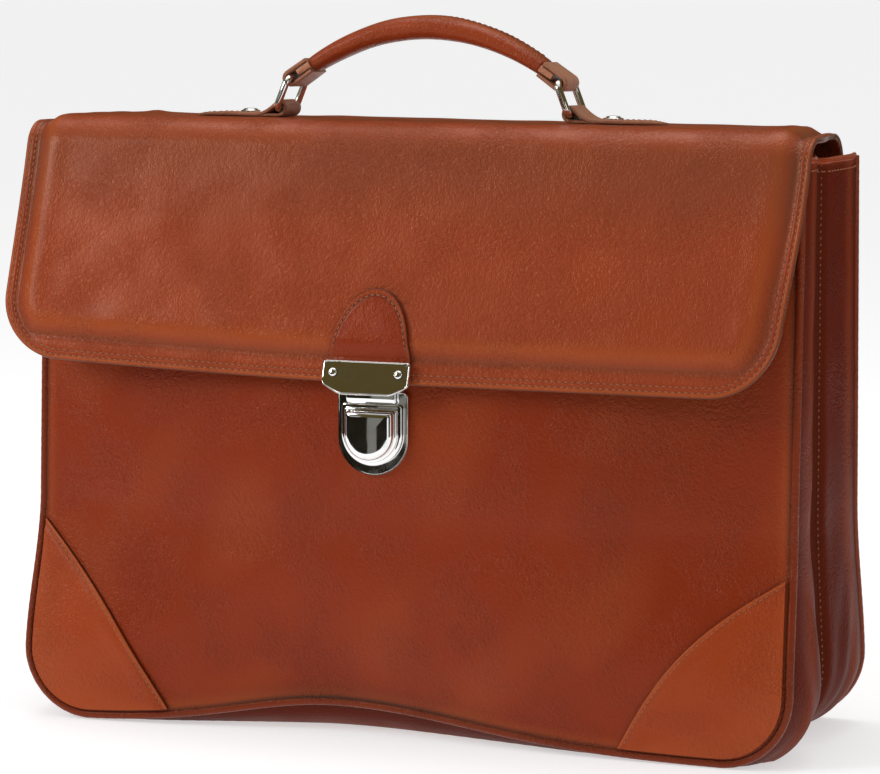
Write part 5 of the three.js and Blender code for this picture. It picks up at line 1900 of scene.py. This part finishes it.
@dataclass
class Studio:
    """Floor, light and camera."""

    form: CaseForm
    azimuth: float = 20.5
    elevation: float = 7.1
    distance: float = 2058.0
    focal_pixels: float = 4150.0
    image_width: float = 880.0
    target: tuple[float, float, float] = (-1.6, 0.0, 164.7)
    roll: float = 0.0
    floor_size: float = 40.0
    card_height: float = 0.3
    lamp_aim: tuple[float, float, float] = (0.0, 0.0, 0.17)
    sky: float = 0.6
    floor_glow: float = 0.52
    band_turn: float = 0.6
    room_dark: Colour = (0.085, 0.062, 0.02)
    room_light: Colour = (0.9, 0.9, 0.88)

    def build(self) -> None:
        """Makes the floor, the world, the lamps and the camera."""
        self.build_floor()
        self.build_world()
        self.build_cards()
        self.build_camera()
        self.add_lamp("key", (-1.3, -1.25, 1.05), (0.7, 0.8), 17.0)
        self.add_lamp("strip", (1.5, -0.75, 0.55), (0.16, 0.9), 1.4)
        self.add_lamp("top", (-0.1, 0.25, 1.7), (1.3, 0.9), 9.0)

    def build_floor(self) -> None:
        """A wide pale floor."""
        size = self.floor_size
        mesh = bpy.data.meshes.new("floor")
        corners = [(-size, -size, 0), (size, -size, 0), (size, size, 0), (-size, size, 0)]
        mesh.from_pydata(corners, [], [(0, 1, 2, 3)])
        floor = bpy.data.objects.new("floor", mesh)
        bpy.context.scene.collection.objects.link(floor)
        material, _, shader = new_material("pale_floor")
        shader.inputs["Base Color"].default_value = (0.6, 0.6, 0.6, 1)
        shader.inputs["Emission Color"].default_value = (1, 1, 1, 1)
        shader.inputs["Emission Strength"].default_value = self.floor_glow
        shader.inputs["Specular IOR Level"].default_value = 0.0
        shader.inputs["Roughness"].default_value = 0.9
        mesh.materials.append(material)

    def build_world(self) -> None:
        """Soft even light from all round; polished metal sees a dim room with bright upright bands."""
        world = bpy.data.worlds.new("studio")
        world.use_nodes = True
        tree = world.node_tree
        wire = Wiring(tree)
        lamp = tree.nodes["Background"]
        place = wire.node("TexCoord").outputs["Generated"]
        split = wire.node("SeparateXYZ", {0: place}).outputs
        angle = wire.math("ARCTAN2", split[0], split[1])
        wave = wire.math("SINE", wire.math("MULTIPLY_ADD", angle, 7.0, self.band_turn))
        band = wire.math("MULTIPLY", wire.ramp(wave, 0.5, 0.8), wire.ramp(split[2], 0.4, 0.15))
        room = wire.mix(wire.ramp(split[2], 0.6, 0.95), self.room_dark, self.room_light)
        banded = wire.mix(wire.math("MULTIPLY", band, 0.6), room, self.room_light)
        glossy = wire.node("LightPath").outputs["Is Glossy Ray"]
        tree.links.new(wire.mix(glossy, (self.sky,) * 3, banded), lamp.inputs["Color"])
        lamp.inputs["Strength"].default_value = 1.0
        bpy.context.scene.world = world
        bpy.context.scene.view_settings.view_transform = "Standard"

    def build_cards(self) -> None:
        """Dark cards round the case, which only reflections see, as on a product table."""
        self.add_card("dark_card", (0.012, 0.010, 0.006), (
            ((-0.95, -0.42), (-0.26, -0.76)), ((-0.12, -0.8), (0.3, -0.9)), ((-1.0, -0.35), (-0.95, 0.4)),
            ((0.55, -0.8), (0.85, -0.45)), ((0.2, 0.9), (1.2, 0.6)), ((0.95, 0.3), (1.0, -0.2)),
        ))
        self.add_card("grey_card", (0.2, 0.2, 0.18), (((-0.26, -0.76), (-0.12, -0.8)),))

    def add_card(self, name: str, colour: Colour, places: tuple[CardEnds, ...]) -> None:
        """Adds upright cards that only reflections see.

        Args:
            name: Name of the object.
            colour: Colour of the cards.
            places: Both ends of each card on the floor, in metres.
        """
        mesh = bpy.data.meshes.new(name)
        tall = self.card_height
        corners = [c for (a, b) in places for c in ((*a, 0.0), (*b, 0.0), (*b, tall), (*a, tall))]
        mesh.from_pydata(corners, [], [tuple(range(4 * k, 4 * k + 4)) for k in range(len(places))])
        card = bpy.data.objects.new(name, mesh)
        bpy.context.scene.collection.objects.link(card)
        card.visible_camera = False
        card.visible_diffuse = False
        card.visible_shadow = False
        card.visible_transmission = False
        material, _, shader = new_material(name)
        shader.inputs["Base Color"].default_value = (*colour, 1)
        shader.inputs["Specular IOR Level"].default_value = 0.0
        mesh.materials.append(material)

    def add_lamp(
        self, name: str, place: tuple[float, float, float], size: tuple[float, float], power: float
    ) -> None:
        """Adds an area lamp that looks at the middle of the case.

        Args:
            name: Name of the lamp.
            place: Where it hangs, in metres.
            size: Its width and height in metres.
            power: Its power in watts.
        """
        data = bpy.data.lights.new(name, "AREA")
        data.shape = "RECTANGLE"
        data.size, data.size_y = size
        data.energy = power
        lamp = bpy.data.objects.new(name, data)
        lamp.location = place
        aim = np.array(self.lamp_aim) - np.array(place)
        lamp.rotation_euler = Vector(aim.tolist()).to_track_quat("-Z", "Y").to_euler()
        bpy.context.scene.collection.objects.link(lamp)

    def build_camera(self) -> None:
        """The camera at the photo's angle, as a pinhole with the fitted focal length."""
        a, e = math.radians(self.azimuth), math.radians(self.elevation)
        back = np.array([math.sin(a) * math.cos(e), -math.cos(a) * math.cos(e), math.sin(e)])
        aim = (np.array(self.target) + self.form.shift) * MM
        data = bpy.data.cameras.new("camera")
        data.sensor_fit = "HORIZONTAL"
        data.sensor_width = 36.0
        data.lens = self.focal_pixels / self.image_width * data.sensor_width
        data.clip_end = 50.0
        camera = bpy.data.objects.new("camera", data)
        camera.location = aim + back * self.distance * MM
        turn = Vector((-back).tolist()).to_track_quat("-Z", "Y").to_matrix()
        camera.rotation_euler = (turn @ Matrix.Rotation(math.radians(self.roll), 3, "Z")).to_euler()
        bpy.context.scene.collection.objects.link(camera)
        bpy.context.scene.camera = camera


def main() -> None:
    """Builds the studio and then the case, sub-assembly by sub-assembly."""
    logging.basicConfig(level=logging.INFO, format="%(message)s")
    form = CaseForm()
    Studio(form).build()
    finishes = Finishes()
    flap_form = FlapForm(form)
    CaseBody(form, finishes).build()
    Flap(flap_form, finishes).build()
    PressLock(form, flap_form, finishes).build()
    Handle(form, flap_form, finishes).build()


if __name__ == "__main__":
    main()
